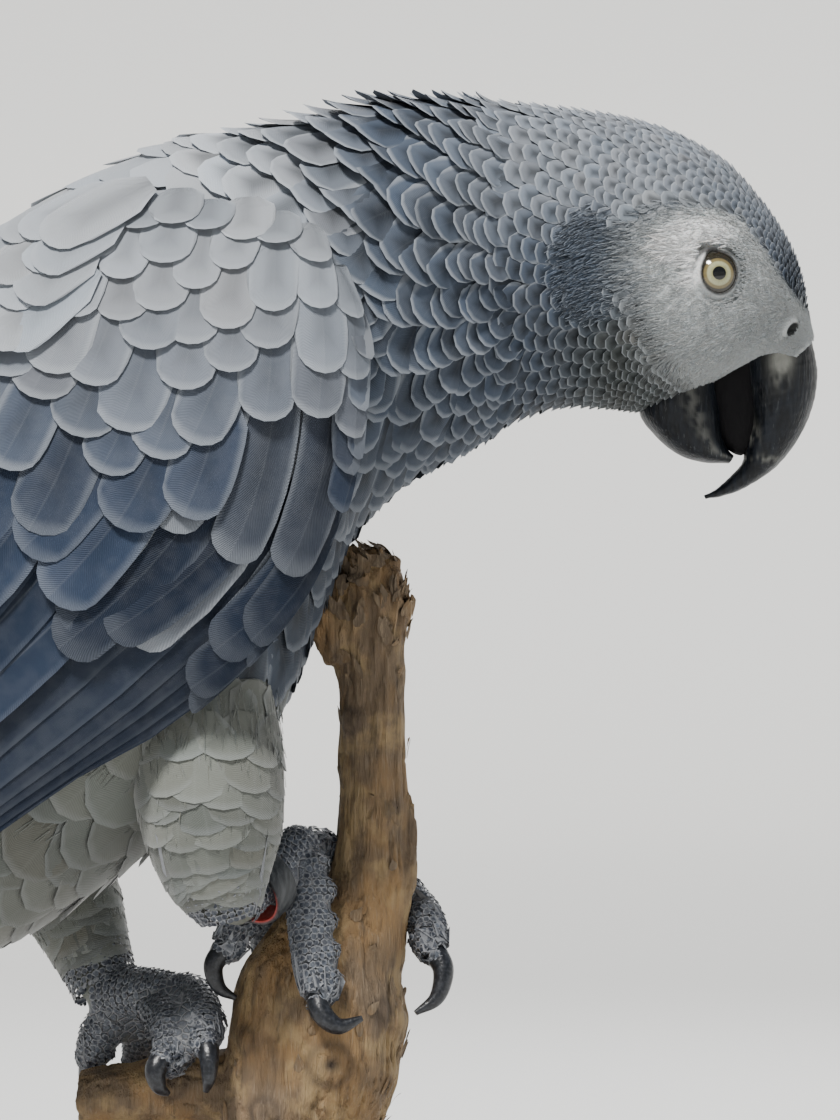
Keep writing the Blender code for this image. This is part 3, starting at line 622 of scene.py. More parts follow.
def lay_vanes(surface, lie, seeds, shape, sense=1.0, flip=False):
    """Vanes laid along a surface.

    Each middle line starts at its seed (u, v) and follows the lie by midpoint steps.  The tip
    is rounded: its sides stop short of the middle by `tip` times the width.  A vertex at share
    t across (-1 to 1) that truly lies at share s along stands base + rise s + camber (1 - t t)
    (0.16 + 0.84 s^3) + tilt t s + curl s^3 above the surface.  seeds is a dict of arrays, one
    value for each vane; a measure that it lacks is taken from the shape, or is zero.
    """
    steps, columns = shape["grid"]
    u, v = seeds["u"], seeds["v"]
    length, width = seeds["length"], seeds["width"]
    line = [(u, v)]
    turn = seeds.get("turn", np.zeros_like(u))
    stride = (length / steps)[:, None]
    for _ in range(steps):
        p, pu, pv, n = frame_at(surface, u, v, sense)
        du, dv = to_parameters(lie(u, v, p, pu, pv, n, turn) * stride / 2, pu, pv)
        p, pu, pv, n = frame_at(surface, u + du, v + dv, sense)
        du, dv = to_parameters(lie(u + du, v + dv, p, pu, pv, n, turn) * stride, pu, pv)
        u, v = u + du, v + dv
        if "limits" in shape:
            u = soft_limit(u, shape["limits"][0], 0.10)
        line.append((u, v))
    u, v = (np.stack(each, axis=1) for each in zip(*line))
    p, pu, pv, n = frame_at(surface, u, v, sense)
    way = lie(u, v, p, pu, pv, n, np.repeat(turn[:, None], steps + 1, axis=1))
    s = np.linspace(0, 1, steps + 1)[:, None]
    t = np.sin(np.linspace(-0.5, 0.5, columns + 1) * math.pi)[None, :]
    spread = np.interp(s, *shape["outline"])
    back = s * shape["tip"] * (1 - np.sqrt(np.clip(1 - t * t, 0, 1)))
    offset = (np.cross(n, way)[:, :, None] * (spread * t / 2)[None, ..., None]
              - way[:, :, None] * back[None, ..., None]) * width[:, None, None, None]
    du, dv = to_parameters(offset, pu[:, :, None], pv[:, :, None])
    u, v = u[:, :, None] + du, v[:, :, None] + dv
    if "limits" in shape:
        u = soft_limit(u, shape["limits"][0], 0.10)
        v = soft_limit(v, shape["limits"][1], 0.012)
        v = -soft_limit(-v, -shape["limits"][2], 0.012)
    base, rise, camber, tilt, curl = (
        seeds.get(key, np.full(len(u), shape.get(key, 0.0)))[:, None, None]
        for key in ("base", "rise", "camber", "tilt", "curl"))
    true = s - back * (width / length)[:, None, None]
    height = (base + rise * true + tilt * t * true
              + camber * (1 - t * t) * (0.16 + 0.84 * true ** 3) + curl * true ** 3)
    points = surface(u, v) + n[:, :, None] * height[..., None]
    faces = vane_template(steps, columns)
    if flip:
        points[..., 1] *= -1
    else:
        faces = [face[::-1] for face in faces]
    shares = np.stack(np.broadcast_arrays(s, 0.5 + t / 2), axis=-1).reshape(-1, 2)
    return vane_mesh(points.reshape(len(u), -1, 3), faces, shares, seeds["root"], seeds["tint"])


def joined_seeds(parts):
    """Several sets of seeds as one."""
    return {key: np.concatenate([part[key] for part in parts]) for key in parts[0]}


# ==== where feathers grow ====

def swung(way, n, turn):
    """A direction turned about the normal: its cosine share plus the sine share across it."""
    return way * np.cos(turn)[..., None] + np.cross(n, way) * np.sin(turn)[..., None]


def lie_back(u, v, p, pu, pv, n, turn):
    """Towards the tail along the body's rows, turned about the normal."""
    return swung(-unit(pu), n, turn)


def lie_on(u, v, p, pu, pv, n, turn):
    """Along rising u, turned about the normal."""
    return swung(unit(pu), n, turn)


def lie_wing(u, v, p, pu, pv, n, turn):
    """Straight down at the front of the wing; behind and low down it bends by an angle that
    grows smoothly with u and v until it runs along the wing."""
    level = np.clip(v, 0, 1)
    target = np.radians(-115) - np.radians(33) * level ** 1.2
    bend = ramp(2.8 - 1.3 * level, 9.3 - 3.1 * level, u)
    angle = np.radians(-91) * (1 - bend) + target * bend
    way = np.stack([np.cos(angle), np.zeros_like(angle), np.sin(angle)], axis=-1)
    return swung(unit(way - n * (way * n).sum(-1, keepdims=True)), n, turn)


def feather_width(p):
    """Width of a body feather where it grows: small on the forehead and cheek, wide behind."""
    x, z = p[..., 0], p[..., 2]
    upper = np.interp(x, (-110, -60, 0, 22, 38, 50, 60, 72, 85, 98, 108),
                      (11, 14, 12.5, 10.5, 8.8, 6.0, 4.0, 3.1, 2.5, 1.8, 1.5))
    lower = np.interp(x, (-110, -60, 0, 20, 35, 45, 55, 65, 80, 108),
                      (11, 15, 13, 9.0, 7.2, 5.6, 4.2, 3.1, 2.3, 1.7))
    share = ramp(225, 250, z)
    return lower + (upper - lower) * share


def body_seeds(first, last, rng, spacing=0.66, wide=1.3, long=2.0):
    """Rows of seeds from row number first back to last.

    Each row goes round the body with its feathers a local width apart, staggered by half a
    place from the row before.  A feather's length is `long` times the distance between rows.
    """
    ring = np.linspace(0, 1, 481)
    found = []
    u = first
    while u > last:
        p = body_point(u, ring)
        gaps = np.linalg.norm(np.diff(p, axis=0), axis=1) / feather_width(p)[:-1]
        share = np.concatenate([[0], np.cumsum(gaps)])
        count = int(round(share[-1]))
        place = np.arange(count) + 0.5 * (len(found) % 2) + rng.uniform(-0.12, 0.12, count)
        v = np.interp(place / count * share[-1] % share[-1], share, ring)
        at = np.full(count, u)
        here, pu, pv, n = frame_at(body_point, at, v)
        local = feather_width(here)
        speed = np.linalg.norm(pu, axis=1)
        step = spacing * local.mean() / speed.mean()
        found.append({"u": at + rng.uniform(-0.1, 0.1, count) * step, "v": v,
                      "length": long * step * speed * rng.uniform(0.92, 1.1, count),
                      "width": local * wide * rng.uniform(0.95, 1.06, count),
                      "place": here, "root": np.stack([v, at / LAST_ROW], axis=1)})
        u -= step
    return joined_seeds(found)


def wing_find(x, z):
    """Wing parameters u, v of the points nearest to places in x, z."""
    u, v = np.meshgrid(np.linspace(0, 15, 301), np.linspace(-0.05, 1.0, 106), indexing="ij")
    p = wing_point(u, v).reshape(-1, 3)
    x, z = np.atleast_1d(x), np.atleast_1d(z)
    best = ((p[None, :, 0] - x[:, None]) ** 2 + (p[None, :, 2] - z[:, None]) ** 2).argmin(axis=1)
    return u.ravel()[best], v.ravel()[best]


def wing_columns(starts, steps):
    """March lines of seeds down the wing from the places starts, by the distances steps.

    Every other line is staggered by half a step.
    """
    u, v = starts
    still = np.zeros_like(u)
    line = [(u, v)]
    for step in steps:
        for _ in range(3):
            p, pu, pv, n = frame_at(wing_point, u, v)
            du, dv = to_parameters(lie_wing(u, v, p, pu, pv, n, still) * step / 3, pu, pv)
            u, v = np.clip(u + du, 0, 15), np.clip(v + dv, -0.1, 1.0)
        line.append((u, v))
    line = np.array(line)
    odd = (np.arange(len(u)) % 2) * 0.5
    mixed = line[:-1] * (1 - odd) + line[1:] * odd
    return mixed[:, 0], mixed[:, 1]


class Finish:
    """A node material under construction; each method adds nodes and gives their output."""

    def __init__(self, name, roughness=0.6, **sockets):
        self.material = bpy.data.materials.new(name)
        self.material.use_nodes = True
        self.tree = self.material.node_tree
        self.shader = self.tree.nodes["Principled BSDF"]
        for key, value in dict(sockets, Roughness=roughness).items():
            self.put(self.shader.inputs[key.replace("_", " ")], value)
        self.objects = self.tree.nodes.new("ShaderNodeTexCoord").outputs["Object"]

    def put(self, socket, value):
        """Link or set an input; a colour of three numbers is made opaque."""
        if isinstance(value, bpy.types.NodeSocket):
            self.tree.links.new(value, socket)
        else:
            socket.default_value = (*value, 1.0) if socket.type == "RGBA" else value

    def node(self, kind, inputs=(), **settings):
        """A node of the given kind, with settings and numbered or named inputs."""
        made = self.tree.nodes.new("ShaderNode" + kind)
        for key, value in settings.items():
            setattr(made, key, value)
        for key, value in dict(inputs).items():
            self.put(made.inputs[key], value)
        return made

    def sum(self, operation, a, b=0.0):
        """A Math node."""
        return self.node("Math", {0: a, 1: b}, operation=operation).outputs[0]

    def noise(self, scale, detail=3.0, stretch=None, source=None, rough=0.55):
        """A Noise texture, on stretched object coordinates (metres) or another source."""
        source = source or self.objects
        if stretch:
            source = self.node("Mapping", {"Vector": source, "Scale": stretch}).outputs[0]
        return self.node("TexNoise", {"Vector": source, "Scale": scale, "Detail": detail,
                                      "Roughness": rough}).outputs["Fac"]

    def cells(self, scale, feature="F1"):
        """A Voronoi texture's distances."""
        return self.node("TexVoronoi", {"Vector": self.objects, "Scale": scale},
                         feature=feature).outputs["Distance"]

    def span(self, value, low, high, to_low=0.0, to_high=1.0):
        """A value moved from one range to another, smoothly and clamped."""
        return self.node("MapRange", {"Value": value, "From Min": low, "From Max": high,
                                      "To Min": to_low, "To Max": to_high},
                         interpolation_type="SMOOTHSTEP").outputs[0]

    def layers(self, colour, *coats):
        """A colour with coats laid over it: each is a share and another colour."""
        for share, other in coats:
            colour = self.node("Mix", {0: share, 6: colour, 7: other}, data_type="RGBA").outputs[2]
        return colour

    def tint(self, output="Color"):
        """The colour attribute that the marking function wrote."""
        return self.node("VertexColor", layer_name="tint").outputs[output]

    def vane(self):
        """Share along a vane and share across it (0.5 on the shaft)."""
        source = self.node("UVMap", uv_map="vane").outputs[0]
        return self.node("SeparateXYZ", {0: source}).outputs[:2]

    def done(self, colour, bump=None, depth=0.0002, roughness=None):
        """Link colour, roughness and bump to the shader and give the material."""
        self.put(self.shader.inputs["Base Color"], colour)
        if roughness is not None:
            self.put(self.shader.inputs["Roughness"], roughness)
        if bump is not None:
            made = self.node("Bump", {"Height": bump, "Distance": depth, "Strength": 1.0})
            self.put(self.shader.inputs["Normal"], made.outputs[0])
        return self.material


def vane_finish(name, rim, rim_from, centre, shaft, barbs, rough, depth, sheen, lines, gloss):
    """Feather finish: painted shade in the middle, pale rim, shaft line and slanting barbs from the
    vane map.

    The rim is the larger of twice the share off the shaft and one less RIM_TIP times the share
    left before the tip, so that it has one width all round the feather's end.  Its pale colour
    is partly the feathers' own edging and partly painted highlight.  It is fainter on dark
    feathers.
    """
    f = Finish(name, rough, Sheen_Weight=sheen, Sheen_Roughness=0.45, Specular_IOR_Level=gloss)
    along, across = f.vane()
    off = f.sum("ABSOLUTE", f.sum("SUBTRACT", across, 0.5))
    left = f.sum("MULTIPLY", f.sum("SUBTRACT", 1.0, along), RIM_TIP)
    edge = f.sum("MAXIMUM", f.sum("SUBTRACT", 1.0, left), f.sum("MULTIPLY", off, 2.0))
    patch = f.noise(260.0, 2.0)
    slant = f.sum("ADD", f.sum("MULTIPLY", along, barbs), f.sum("MULTIPLY", off, -barbs * 0.55))
    ribs = f.sum("SINE", f.sum("ADD", f.sum("MULTIPLY", slant, TURN),
                               f.sum("MULTIPLY", patch, 5.0)))
    strength = f.span(f.tint(), 0.02, 0.12, 0.25 * rim, rim)
    # Painted shade: the first layer darkens the middle towards black where the next feathers lie
    # over it; the second paints the pale rim, partly edging and partly highlight.
    colour = f.layers(f.tint(), (f.span(edge, 0.0, rim_from, 1 - centre, 0.0), (0.0, 0.0, 0.0)),
                      (f.sum("MULTIPLY", f.span(edge, rim_from, 0.97), strength),
                       (0.60, 0.64, 0.69)),
                      (f.span(off, 0.03, 0.0, 0.0, shaft), (0.5, 0.53, 0.56)),
                      (f.span(ribs, -1, 1, 0.0, lines), (0.02, 0.025, 0.03)),
                      (f.span(patch, 0.35, 0.7, 0.0, 0.03), (0.5, 0.5, 0.5)))
    height = f.sum("ADD", f.sum("MULTIPLY", ribs, 0.3),
                   f.sum("ADD", f.span(off, 0.05, 0.0, 0.0, shaft * 4.0),
                         f.sum("MULTIPLY", patch, 0.5)))
    return f.done(colour, height, depth)


def finish(name):
    """The named material, made once."""
    found = bpy.data.materials.get(name)
    if found:
        return found
    return vane_finish(name, *VANES[name]) if name in VANES else FINISHES[name](name)


def skin_finish(name):
    """Skin: its marking colour with mottling and fine wrinkles; scaly with pale nets on feet."""
    f = Finish(name, 0.55, Subsurface_Weight=0.08, Subsurface_Scale=0.001,
               Subsurface_Radius=(1.0, 0.5, 0.3))
    fold = f.noise(420.0, 4.0, (1.0, 1.0, 2.2))
    net = f.span(f.cells(620.0, "DISTANCE_TO_EDGE"), 0.0, 0.16, 1.0, 0.0)
    scaly = f.sum("MULTIPLY", net, f.tint("Alpha"))
    colour = f.layers(f.tint(), (f.span(fold, 0.4, 0.75, 0.0, 0.25), (0.33, 0.32, 0.30)),
                      (f.sum("MULTIPLY", scaly, 0.6), (0.38, 0.38, 0.39)))
    height = f.sum("SUBTRACT", f.sum("ADD", fold, f.sum("MULTIPLY", f.cells(2600.0), 0.4)),
                   f.sum("MULTIPLY", scaly, 1.2))
    return f.done(colour, height, 0.0003)


def bill_finish(name):
    """Black bill horn: growth lines down it, pale scratches and worn patches near the edge, and
    pale spots from the tint that include painted highlights.
    """
    f = Finish(name, 0.4, Coat_Weight=0.06, Coat_Roughness=0.3, Specular_IOR_Level=0.25)
    grain = f.noise(900.0, 4.0, (1.0, 1.0, 0.16))
    cloud = f.noise(160.0)
    scratch = f.noise(2100.0, 2.0, (1.0, 1.0, 0.05))
    wear = f.sum("MULTIPLY", f.span(scratch, 0.60, 0.72), f.span(cloud, 0.45, 0.62))
    colour = f.layers((0.003, 0.004, 0.006), (f.span(grain, 0.35, 0.7), (0.010, 0.013, 0.019)),
                      (f.sum("MULTIPLY", wear, 0.35), (0.20, 0.21, 0.21)),
                      (f.sum("MULTIPLY", f.tint(), 1.0), (0.36, 0.36, 0.32)))
    return f.done(colour, f.sum("ADD", grain, scratch), 0.0002, f.span(cloud, 0.3, 0.7, 0.32, 0.5))


def mouth_finish(name):
    """Inside of the mouth and tongue: near black with fine creases, partly their own dark colour
    and partly painted shade in the gap between the bills.
    """
    f = Finish(name, 0.75, Specular_IOR_Level=0.2)
    crease = f.noise(800.0, 4.0, (1.0, 1.0, 0.3))
    colour = f.layers((0.002, 0.002, 0.003), (crease, (0.008, 0.007, 0.008)))
    return f.done(colour, crease, 0.0003)


def eye_finish(name):
    """Eye: black pupil, pale yellow iris with fine spokes, darker at its border, glossy."""
    f = Finish(name, 0.12, Coat_Weight=1.0, Coat_Roughness=0.02, Coat_IOR=1.4)
    along, across = f.vane()
    spokes = f.noise(34.0, source=f.node("CombineXYZ", {
        0: f.sum("MULTIPLY", across, 3.0), 1: f.sum("MULTIPLY", along, 0.25)}).outputs[0])
    return f.done(f.layers(
        (0.30, 0.29, 0.15), (f.span(along, 0.14, 0.22), (0.43, 0.43, 0.26)),
        (f.span(spokes, 0.4, 0.65, 0.0, 0.45), (0.26, 0.25, 0.11)),
        (f.span(along, 0.245, 0.285, 0.0, 0.85), (0.16, 0.11, 0.035)),
        (f.span(along, 0.315, 0.36), (0.022, 0.018, 0.010)),
        (f.span(along, 0.150, 0.138), (0.002, 0.002, 0.002))))


def scale_finish(name):
    """Foot scales: mottled grey with pale rims."""
    f = Finish(name, 0.5)
    along, across = f.vane()
    off = f.sum("MULTIPLY", f.sum("ABSOLUTE", f.sum("SUBTRACT", across, 0.5)), 2.0)
    ends = f.sum("ABSOLUTE", f.sum("SUBTRACT", f.sum("MULTIPLY", along, 2.0), 1.0))
    edge = f.span(f.sum("MAXIMUM", ends, off), 0.50, 0.95, 0.0, 0.75)
    colour = f.layers(f.tint(), (f.span(f.noise(700.0), 0.4, 0.62), (0.026, 0.032, 0.048)),
                      (edge, (0.34, 0.35, 0.37)))
    return f.done(colour, f.noise(2600.0), 0.0002)


def claw_finish(name):
    """Claw horn: black, polished, with a faint mottle."""
    f = Finish(name, 0.34, Coat_Weight=0.15, Coat_Roughness=0.25)
    grain = f.noise(1500.0)
    colour = f.layers((0.008, 0.009, 0.012), (f.span(grain, 0.4, 0.7), (0.030, 0.033, 0.040)))
    return f.done(colour, grain, 0.0001)


def ring_finish(name):
    """Leg ring: dull aluminium with scuffs, and the red inside that shows at its lower end."""
    f = Finish(name, 0.5, Metallic=0.3)
    scuff = f.noise(1200.0, 4.0, (1.0, 1.0, 0.2))
    inside = f.node("SeparateColor", {0: f.tint()}).outputs[0]
    colour = f.layers((0.030, 0.033, 0.037), (f.span(scuff, 0.35, 0.7), (0.095, 0.10, 0.105)),
                      (f.sum("MULTIPLY", inside, 0.9), (0.55, 0.06, 0.045)))
    return f.done(colour, scuff, 0.00012, f.span(scuff, 0.3, 0.7, 0.38, 0.6))


def bark_finish(name):
    """Weathered branch: tan wood with grey patches, long grain, dark cracks and knots."""
    f = Finish(name, 0.78)
    torn, dark = f.vane()
    grain = f.noise(520.0, 6.0, (1.0, 1.0, 0.13), rough=0.65)
    fine = f.noise(2400.0, 4.0, (1.0, 1.0, 0.10))
    patch = f.noise(70.0, 4.0, (1.0, 1.0, 0.55))
    colour = f.layers((0.310, 0.188, 0.082), (f.span(patch, 0.40, 0.58), (0.185, 0.130, 0.080)),
                      (f.span(f.noise(150.0, 5.0), 0.46, 0.64, 0.0, 0.7), (0.420, 0.295, 0.145)),
                      (f.span(grain, 0.50, 0.30, 0.0, 0.6), (0.045, 0.032, 0.022)),
                      (f.span(fine, 0.52, 0.75, 0.0, 0.4), (0.38, 0.30, 0.21)),
                      (f.sum("MULTIPLY", torn, 0.6), (0.30, 0.185, 0.095)),
                      (dark, (0.040, 0.030, 0.026)))
    return f.done(colour, f.sum("ADD", grain, f.sum("MULTIPLY", fine, 0.6)), 0.0011)


def flake_finish(name):
    """Torn slivers of bark: paler and warmer than the trunk, with fine fibres."""
    f = Finish(name, 0.85, Specular_IOR_Level=0.2)
    fine = f.noise(2200.0, 4.0, (1.0, 1.0, 0.12))
    colour = f.layers((0.215, 0.140, 0.075), (f.span(f.noise(120.0), 0.4, 0.6),
                                              (0.160, 0.120, 0.082)),
                      (f.span(fine, 0.45, 0.7, 0.0, 0.6), (0.34, 0.26, 0.17)))
    return f.done(colour, fine, 0.0005)


def base_finish(name):
    """Stand base: dark oiled wood with a straight grain."""
    f = Finish(name, 0.38, Coat_Weight=0.2, Coat_Roughness=0.3)
    rings = f.noise(60.0, 5.0, (0.12, 1.0, 1.0))
    pores = f.noise(900.0, 3.0, (0.04, 1.0, 1.0))
    colour = f.layers((0.060, 0.032, 0.018), (f.span(rings, 0.35, 0.65), (0.125, 0.070, 0.038)),
                      (f.span(pores, 0.56, 0.72, 0.0, 0.8), (0.022, 0.012, 0.008)))
    return f.done(colour, pores, 0.0002)


def rod_finish(name):
    """Stand rod: brushed steel."""
    f = Finish(name, 0.32, Metallic=1.0, Anisotropic=0.4)
    brush = f.noise(700.0, 4.0, (1.0, 1.0, 0.03))
    colour = f.layers((0.30, 0.31, 0.32), (brush, (0.55, 0.56, 0.57)))
    return f.done(colour, brush, 0.00006, f.span(brush, 0.3, 0.7, 0.24, 0.42))


# rim of pale edging and painted highlight, its start, light left in the middle by the painted
# shade, shaft, barbs, roughness, relief, sheen, lines, gloss
VANES = {
    "small_feathers": (0.40, 0.72, 0.36, 0.02, 30, 0.62, 0.00005, 0.05, 0.03, 0.16),
    "soft_feathers": (0.10, 0.75, 0.95, 0.03, 40, 0.85, 0.00004, 0.6, 0.06, 0.3),
    "wing_feathers": (0.30, 0.72, 0.70, 0.04, 60, 0.6, 0.0001, 0.03, 0.14, 0.16),
    "long_vanes": (0.10, 0.80, 0.85, 0.08, 170, 0.5, 0.00008, 0.0, 0.06, 0.10),
    "fine_hairs": (0.1, 0.6, 1.0, 0.0, 2, 0.7, 0.00012, 0.25, 0.0, 0.3),
    "red_vanes": (0.0, 0.93, 0.7, 0.02, 120, 0.55, 0.00012, 0.0, 0.06, 0.3),
}
RIM_TIP = 2.2
FINISHES = {
    "skin": skin_finish, "bill_horn": bill_finish, "mouth": mouth_finish, "eye": eye_finish,
    "foot_scales": scale_finish, "claw_horn": claw_finish, "leg_metal": ring_finish,
    "bark": bark_finish, "flake": flake_finish, "oiled_wood": base_finish,
    "brushed_steel": rod_finish,
}


def coat_depth(p):
    """How far under the outline the skin lies: the thickness of the coat."""
    deep = np.interp(p[..., 0], (40, 62, 80), (1.9, 1.3, 0.8))
    share = face_share(p)
    return deep * (1 - share) + 0.1 * share


def inset_grid(surface, us, vs, depth, sense=1.0):
    """A grid on a surface moved inwards; depth is a number or a function of the points."""
    u, v = np.meshgrid(us, vs, indexing="ij")
    p, _, _, n = frame_at(surface, u, v, sense)
    deep = depth(p) if callable(depth) else depth
    return p - n * np.broadcast_to(deep, p.shape[:2])[..., None]


def outward(surface, last):
    """Sign that makes a tube's normal point away from its middle line."""
    u = np.full(8, last / 2)
    v = np.linspace(0, 1, 9)[:-1]
    p, _, _, n = frame_at(surface, u, v)
    return float(np.sign(((p - p.mean(axis=0)) * n).sum()))


def wing_plate(flip):
    """The fleshy front part of a wing as a closed loop of outer and inner points."""
    u, v = np.meshgrid(np.linspace(0.15, 9.5, 50), np.linspace(0.03, 0.97, 36), indexing="ij")
    p, _, _, n = frame_at(wing_point, u, v)
    thick = WING_EDGE + WING_MIDDLE * (1 - (2 * v - 1) ** 2) * (1 - 0.05 * u)
    outer = p - n * 3.2
    inner = p - n * np.maximum(thick - 0.3, 4.9)[..., None]
    loop = np.concatenate([outer, inner[:, ::-1]], axis=1)
    return loop * (1, -1, 1) if flip else loop


def fused(grids, voxel, smoothing):
    """One closed mesh from overlapping closed tubes: joined, remeshed in voxels, smoothed."""
    item = linked("part", merged([closed_grid(grid) for grid in grids]))
    melt = item.modifiers.new("melt", "REMESH")
    melt.mode = "VOXEL"
    melt.voxel_size = voxel * MM
    even = item.modifiers.new("even", "SMOOTH")
    even.factor = 0.5
    even.iterations = smoothing
    graph = bpy.context.evaluated_depsgraph_get()
    made = bpy.data.meshes.new_from_object(item.evaluated_get(graph))
    bpy.data.objects.remove(item, do_unlink=True)
    return made


def refine(mesh, choose, smoothing):
    """Split the faces chosen by a function of their middles into four, and smooth them."""
    work = bmesh.new()
    work.from_mesh(mesh)
    pick = lambda items, places: [item for item, yes in zip(
        items, choose(np.array([place[:] for place in places]) / MM)) if yes]
    faces = pick(work.faces, [face.calc_center_median() for face in work.faces])
    edges = list({edge for face in faces for edge in face.edges})
    bmesh.ops.subdivide_edges(work, edges=edges, cuts=1, use_grid_fill=True)
    verts = pick(work.verts, [vert.co for vert in work.verts])
    for _ in range(smoothing):
        bmesh.ops.smooth_vert(work, verts=verts, factor=0.5, use_axis_x=True, use_axis_y=True,
                              use_axis_z=True)
    work.to_mesh(mesh)
    work.free()


def lid_radius(p):
    """Distance from the middle of the eye's opening, 1 on the lids' edge; large elsewhere.

    The opening is an ellipse drawn out to a point above and behind.
    """
    dx = (p[..., 0] - LID_PLACE[0]) / LID_OPENING[0]
    dz = (p[..., 2] - LID_PLACE[1]) / LID_OPENING[1]
    turn = np.arctan2(dz, dx)
    far = np.hypot(dx, dz) * (1 - 0.17 * bell(turn - 2.0, 0.38))
    return np.where(np.abs(p[..., 1]) > 9, far, 99.0)


def nostril_radius(p):
    """Distance from the middle of the oval nostril, 1 on its rim; large elsewhere."""
    dx, dz = p[..., 0] - NOSTRIL[0], p[..., 2] - NOSTRIL[1]
    along = dx * math.sin(NOSTRIL_TURN) + dz * math.cos(NOSTRIL_TURN)
    aside = dx * math.cos(NOSTRIL_TURN) - dz * math.sin(NOSTRIL_TURN)
    far = np.hypot(aside / 0.75, along / 1.3)
    return np.where(np.abs(p[..., 1]) > 3, far, 99.0)


def shape_face(p, n):
    """Raise lids over the eyeball with folds round them, swell the brow, sink the nostril.

    The lid's |y| is the eyeball's height at that place plus its edge, falls steeply inside the
    opening, and passes into the face beyond it; folds are cosine rings that fade with distance.
    Fine noise wrinkles the rest of the bare face.
    """
    r = lid_radius(p)
    ball = (p[:, 0] - EYE_PLACE[0]) ** 2 + (p[:, 2] - EYE_PLACE[2]) ** 2
    ball = EYE_PLACE[1] + np.sqrt(np.clip(EYE_RADIUS ** 2 - ball, 0, None))
    lid = ball + 0.22 + 0.20 * bell(r - 1.22, 0.12)
    lid = np.where(r < 1.06, ball + 0.32 - 9.0 * (1.06 - r), lid)
    share = ramp(1.85, 1.40, r)
    reach = np.abs(p[:, 1])
    fade = np.exp(-np.clip(r - 1.5, 0, None) / 0.9) * ramp(1.3, 1.7, r)
    folds = 0.09 * np.cos(TURN * (r - 1.70) / 0.36) * fade
    target = lid * share + (reach + folds) * (1 - share)
    out = p.copy()
    out[:, 1] = np.where(r < 5, np.sign(p[:, 1]) * target, p[:, 1])
    brow = np.exp(-((p[:, 0] - 85.0) / 6.5) ** 2 - ((p[:, 2] - 246.5) / 2.6) ** 2)
    push = 0.45 * brow * (np.abs(p[:, 1]) > 8)
    hole = nostril_radius(p)
    push += 0.03 * bell(hole - 1.55, 0.4) - 1.6 * ramp(1.2, 0.6, hole)
    wrinkle = lattice_noise(p * (1, 1, 1.7), 1.2, 3) + 0.6 * lattice_noise(p, 0.6, 4)
    push += 0.07 * wrinkle * face_share(p) * ramp(1.2, 1.6, r)
    return out + n * push[:, None]


def near_path(p, paths, gap=1.6):
    """1 near any of the tubes, 0 away from them."""
    best = np.full(p.shape[:-1], 1e9)
    for rows in paths:
        table = np.asarray([row[:4] for row in rows], float)
        for ball in smooth_rows(table, np.linspace(0, len(table) - 1, 5 * len(table))):
            best = np.minimum(best, np.sqrt(((p - ball[:3]) ** 2).sum(-1)) - ball[3])
    return ramp(gap, gap * 0.3, best)


def foot_share(p):
    """1 on the shanks and toes, 0 elsewhere."""
    low = p[:, 2] < 143
    foot = np.zeros(len(p))
    foot[low] = near_path(p[low], [TARSUS_RIGHT[1:], TARSUS_LEFT[1:]]
                          + [toe_rows(key) for key in TOES])
    return foot


def skin_colour(p):
    """Markings of the skin, with foot colour on the feet, dark lid edges, and nostrils darkened as
    painted shade in their holes.
    """
    colour = blend(marking(p), ("foot", foot_share(p)))
    ring = lid_radius(p)
    # The nostril part of this darkening is painted shade in the holes; the lid part darkens the lid
    # edges.
    dark = np.maximum(ramp(1.22, 1.08, ring), ramp(1.25, 0.9, nostril_radius(p)))
    rosy = ramp(1.05, 1.2, ring) * ramp(2.4, 1.5, ring)
    colour = colour * (1 - 0.15 * rosy[:, None]) * (1 - 0.93 * dark[:, None])
    cloud = 1 + 0.10 * lattice_noise(p, 3.0, 8) + 0.07 * lattice_noise(p, 0.9, 9)
    return colour * cloud[:, None]


def make_skin(voxel):
    """The single skin: body, wings, tail stump, legs and toes fused, then the face shaped."""
    ring = lambda count: np.linspace(0, 1, count + 1)[:-1]
    grids = [inset_grid(body_point, np.linspace(0, LAST_ROW, 190), ring(128), coat_depth),
             wing_plate(False), wing_plate(True),
             inset_grid(tail_point, np.linspace(0.0, 1.6, 16), ring(48), 0.8)]
    limbs = [(tube_surface(rows), rows, depth)
             for rows, depth in ((THIGH_RIGHT, 1.5), (THIGH_LEFT, 1.5), (TARSUS_RIGHT, 0.4),
                                 (TARSUS_LEFT, 0.4))]
    limbs += [(toe_surface(key), toe_rows(key), 0.3) for key in TOES]
    for surface, rows, depth in limbs:
        last = len(rows) - 1
        grids.append(inset_grid(surface, np.linspace(0, last, 40), ring(32), depth,
                                outward(surface, last)))
    mesh = fused(grids, voxel, 6)
    on_face = lambda p: ((outline_distance(p[:, 0], p[:, 2], FACE_OUTLINE) < 4.0)
                         & (p[:, 2] > 214))
    refine(mesh, on_face, 3)
    refine(mesh, on_face, 4)
    refine(mesh, lambda p: (lid_radius(p) < 1.9) | (nostril_radius(p) < 2.2), 1)
    refine(mesh, lambda p: (p[:, 2] < 142) & (near_path(p, TOES.values(), 3.0) > 0.1), 2)
    set_places(mesh, shape_face(*measured(mesh)))
    places = measured(mesh)[0]
    set_tint(mesh, skin_colour(places), foot_share(places))
    nodes = ["trunk", "neck", "head", "wing_right", "wing_left", "tail", "thigh_right",
             "thigh_left", "tarsus_right", "tarsus_left"] + ["toe_" + name for name in TOES]
    return place_mesh("skin", mesh, "skin", nodes)


def toned(colour, rng, spread=0.12, warm=0.02):
    """Each vane's own colour: brightness and warmth vary a little from vane to vane."""
    light = 1 + rng.normal(0, spread, len(colour))[:, None]
    shift = rng.normal(0, warm, len(colour))[:, None] * (1, 0, -1)
    return np.clip(colour * np.clip(light, 0.6, 1.5) * (1 + shift), 0.001, 0.95)


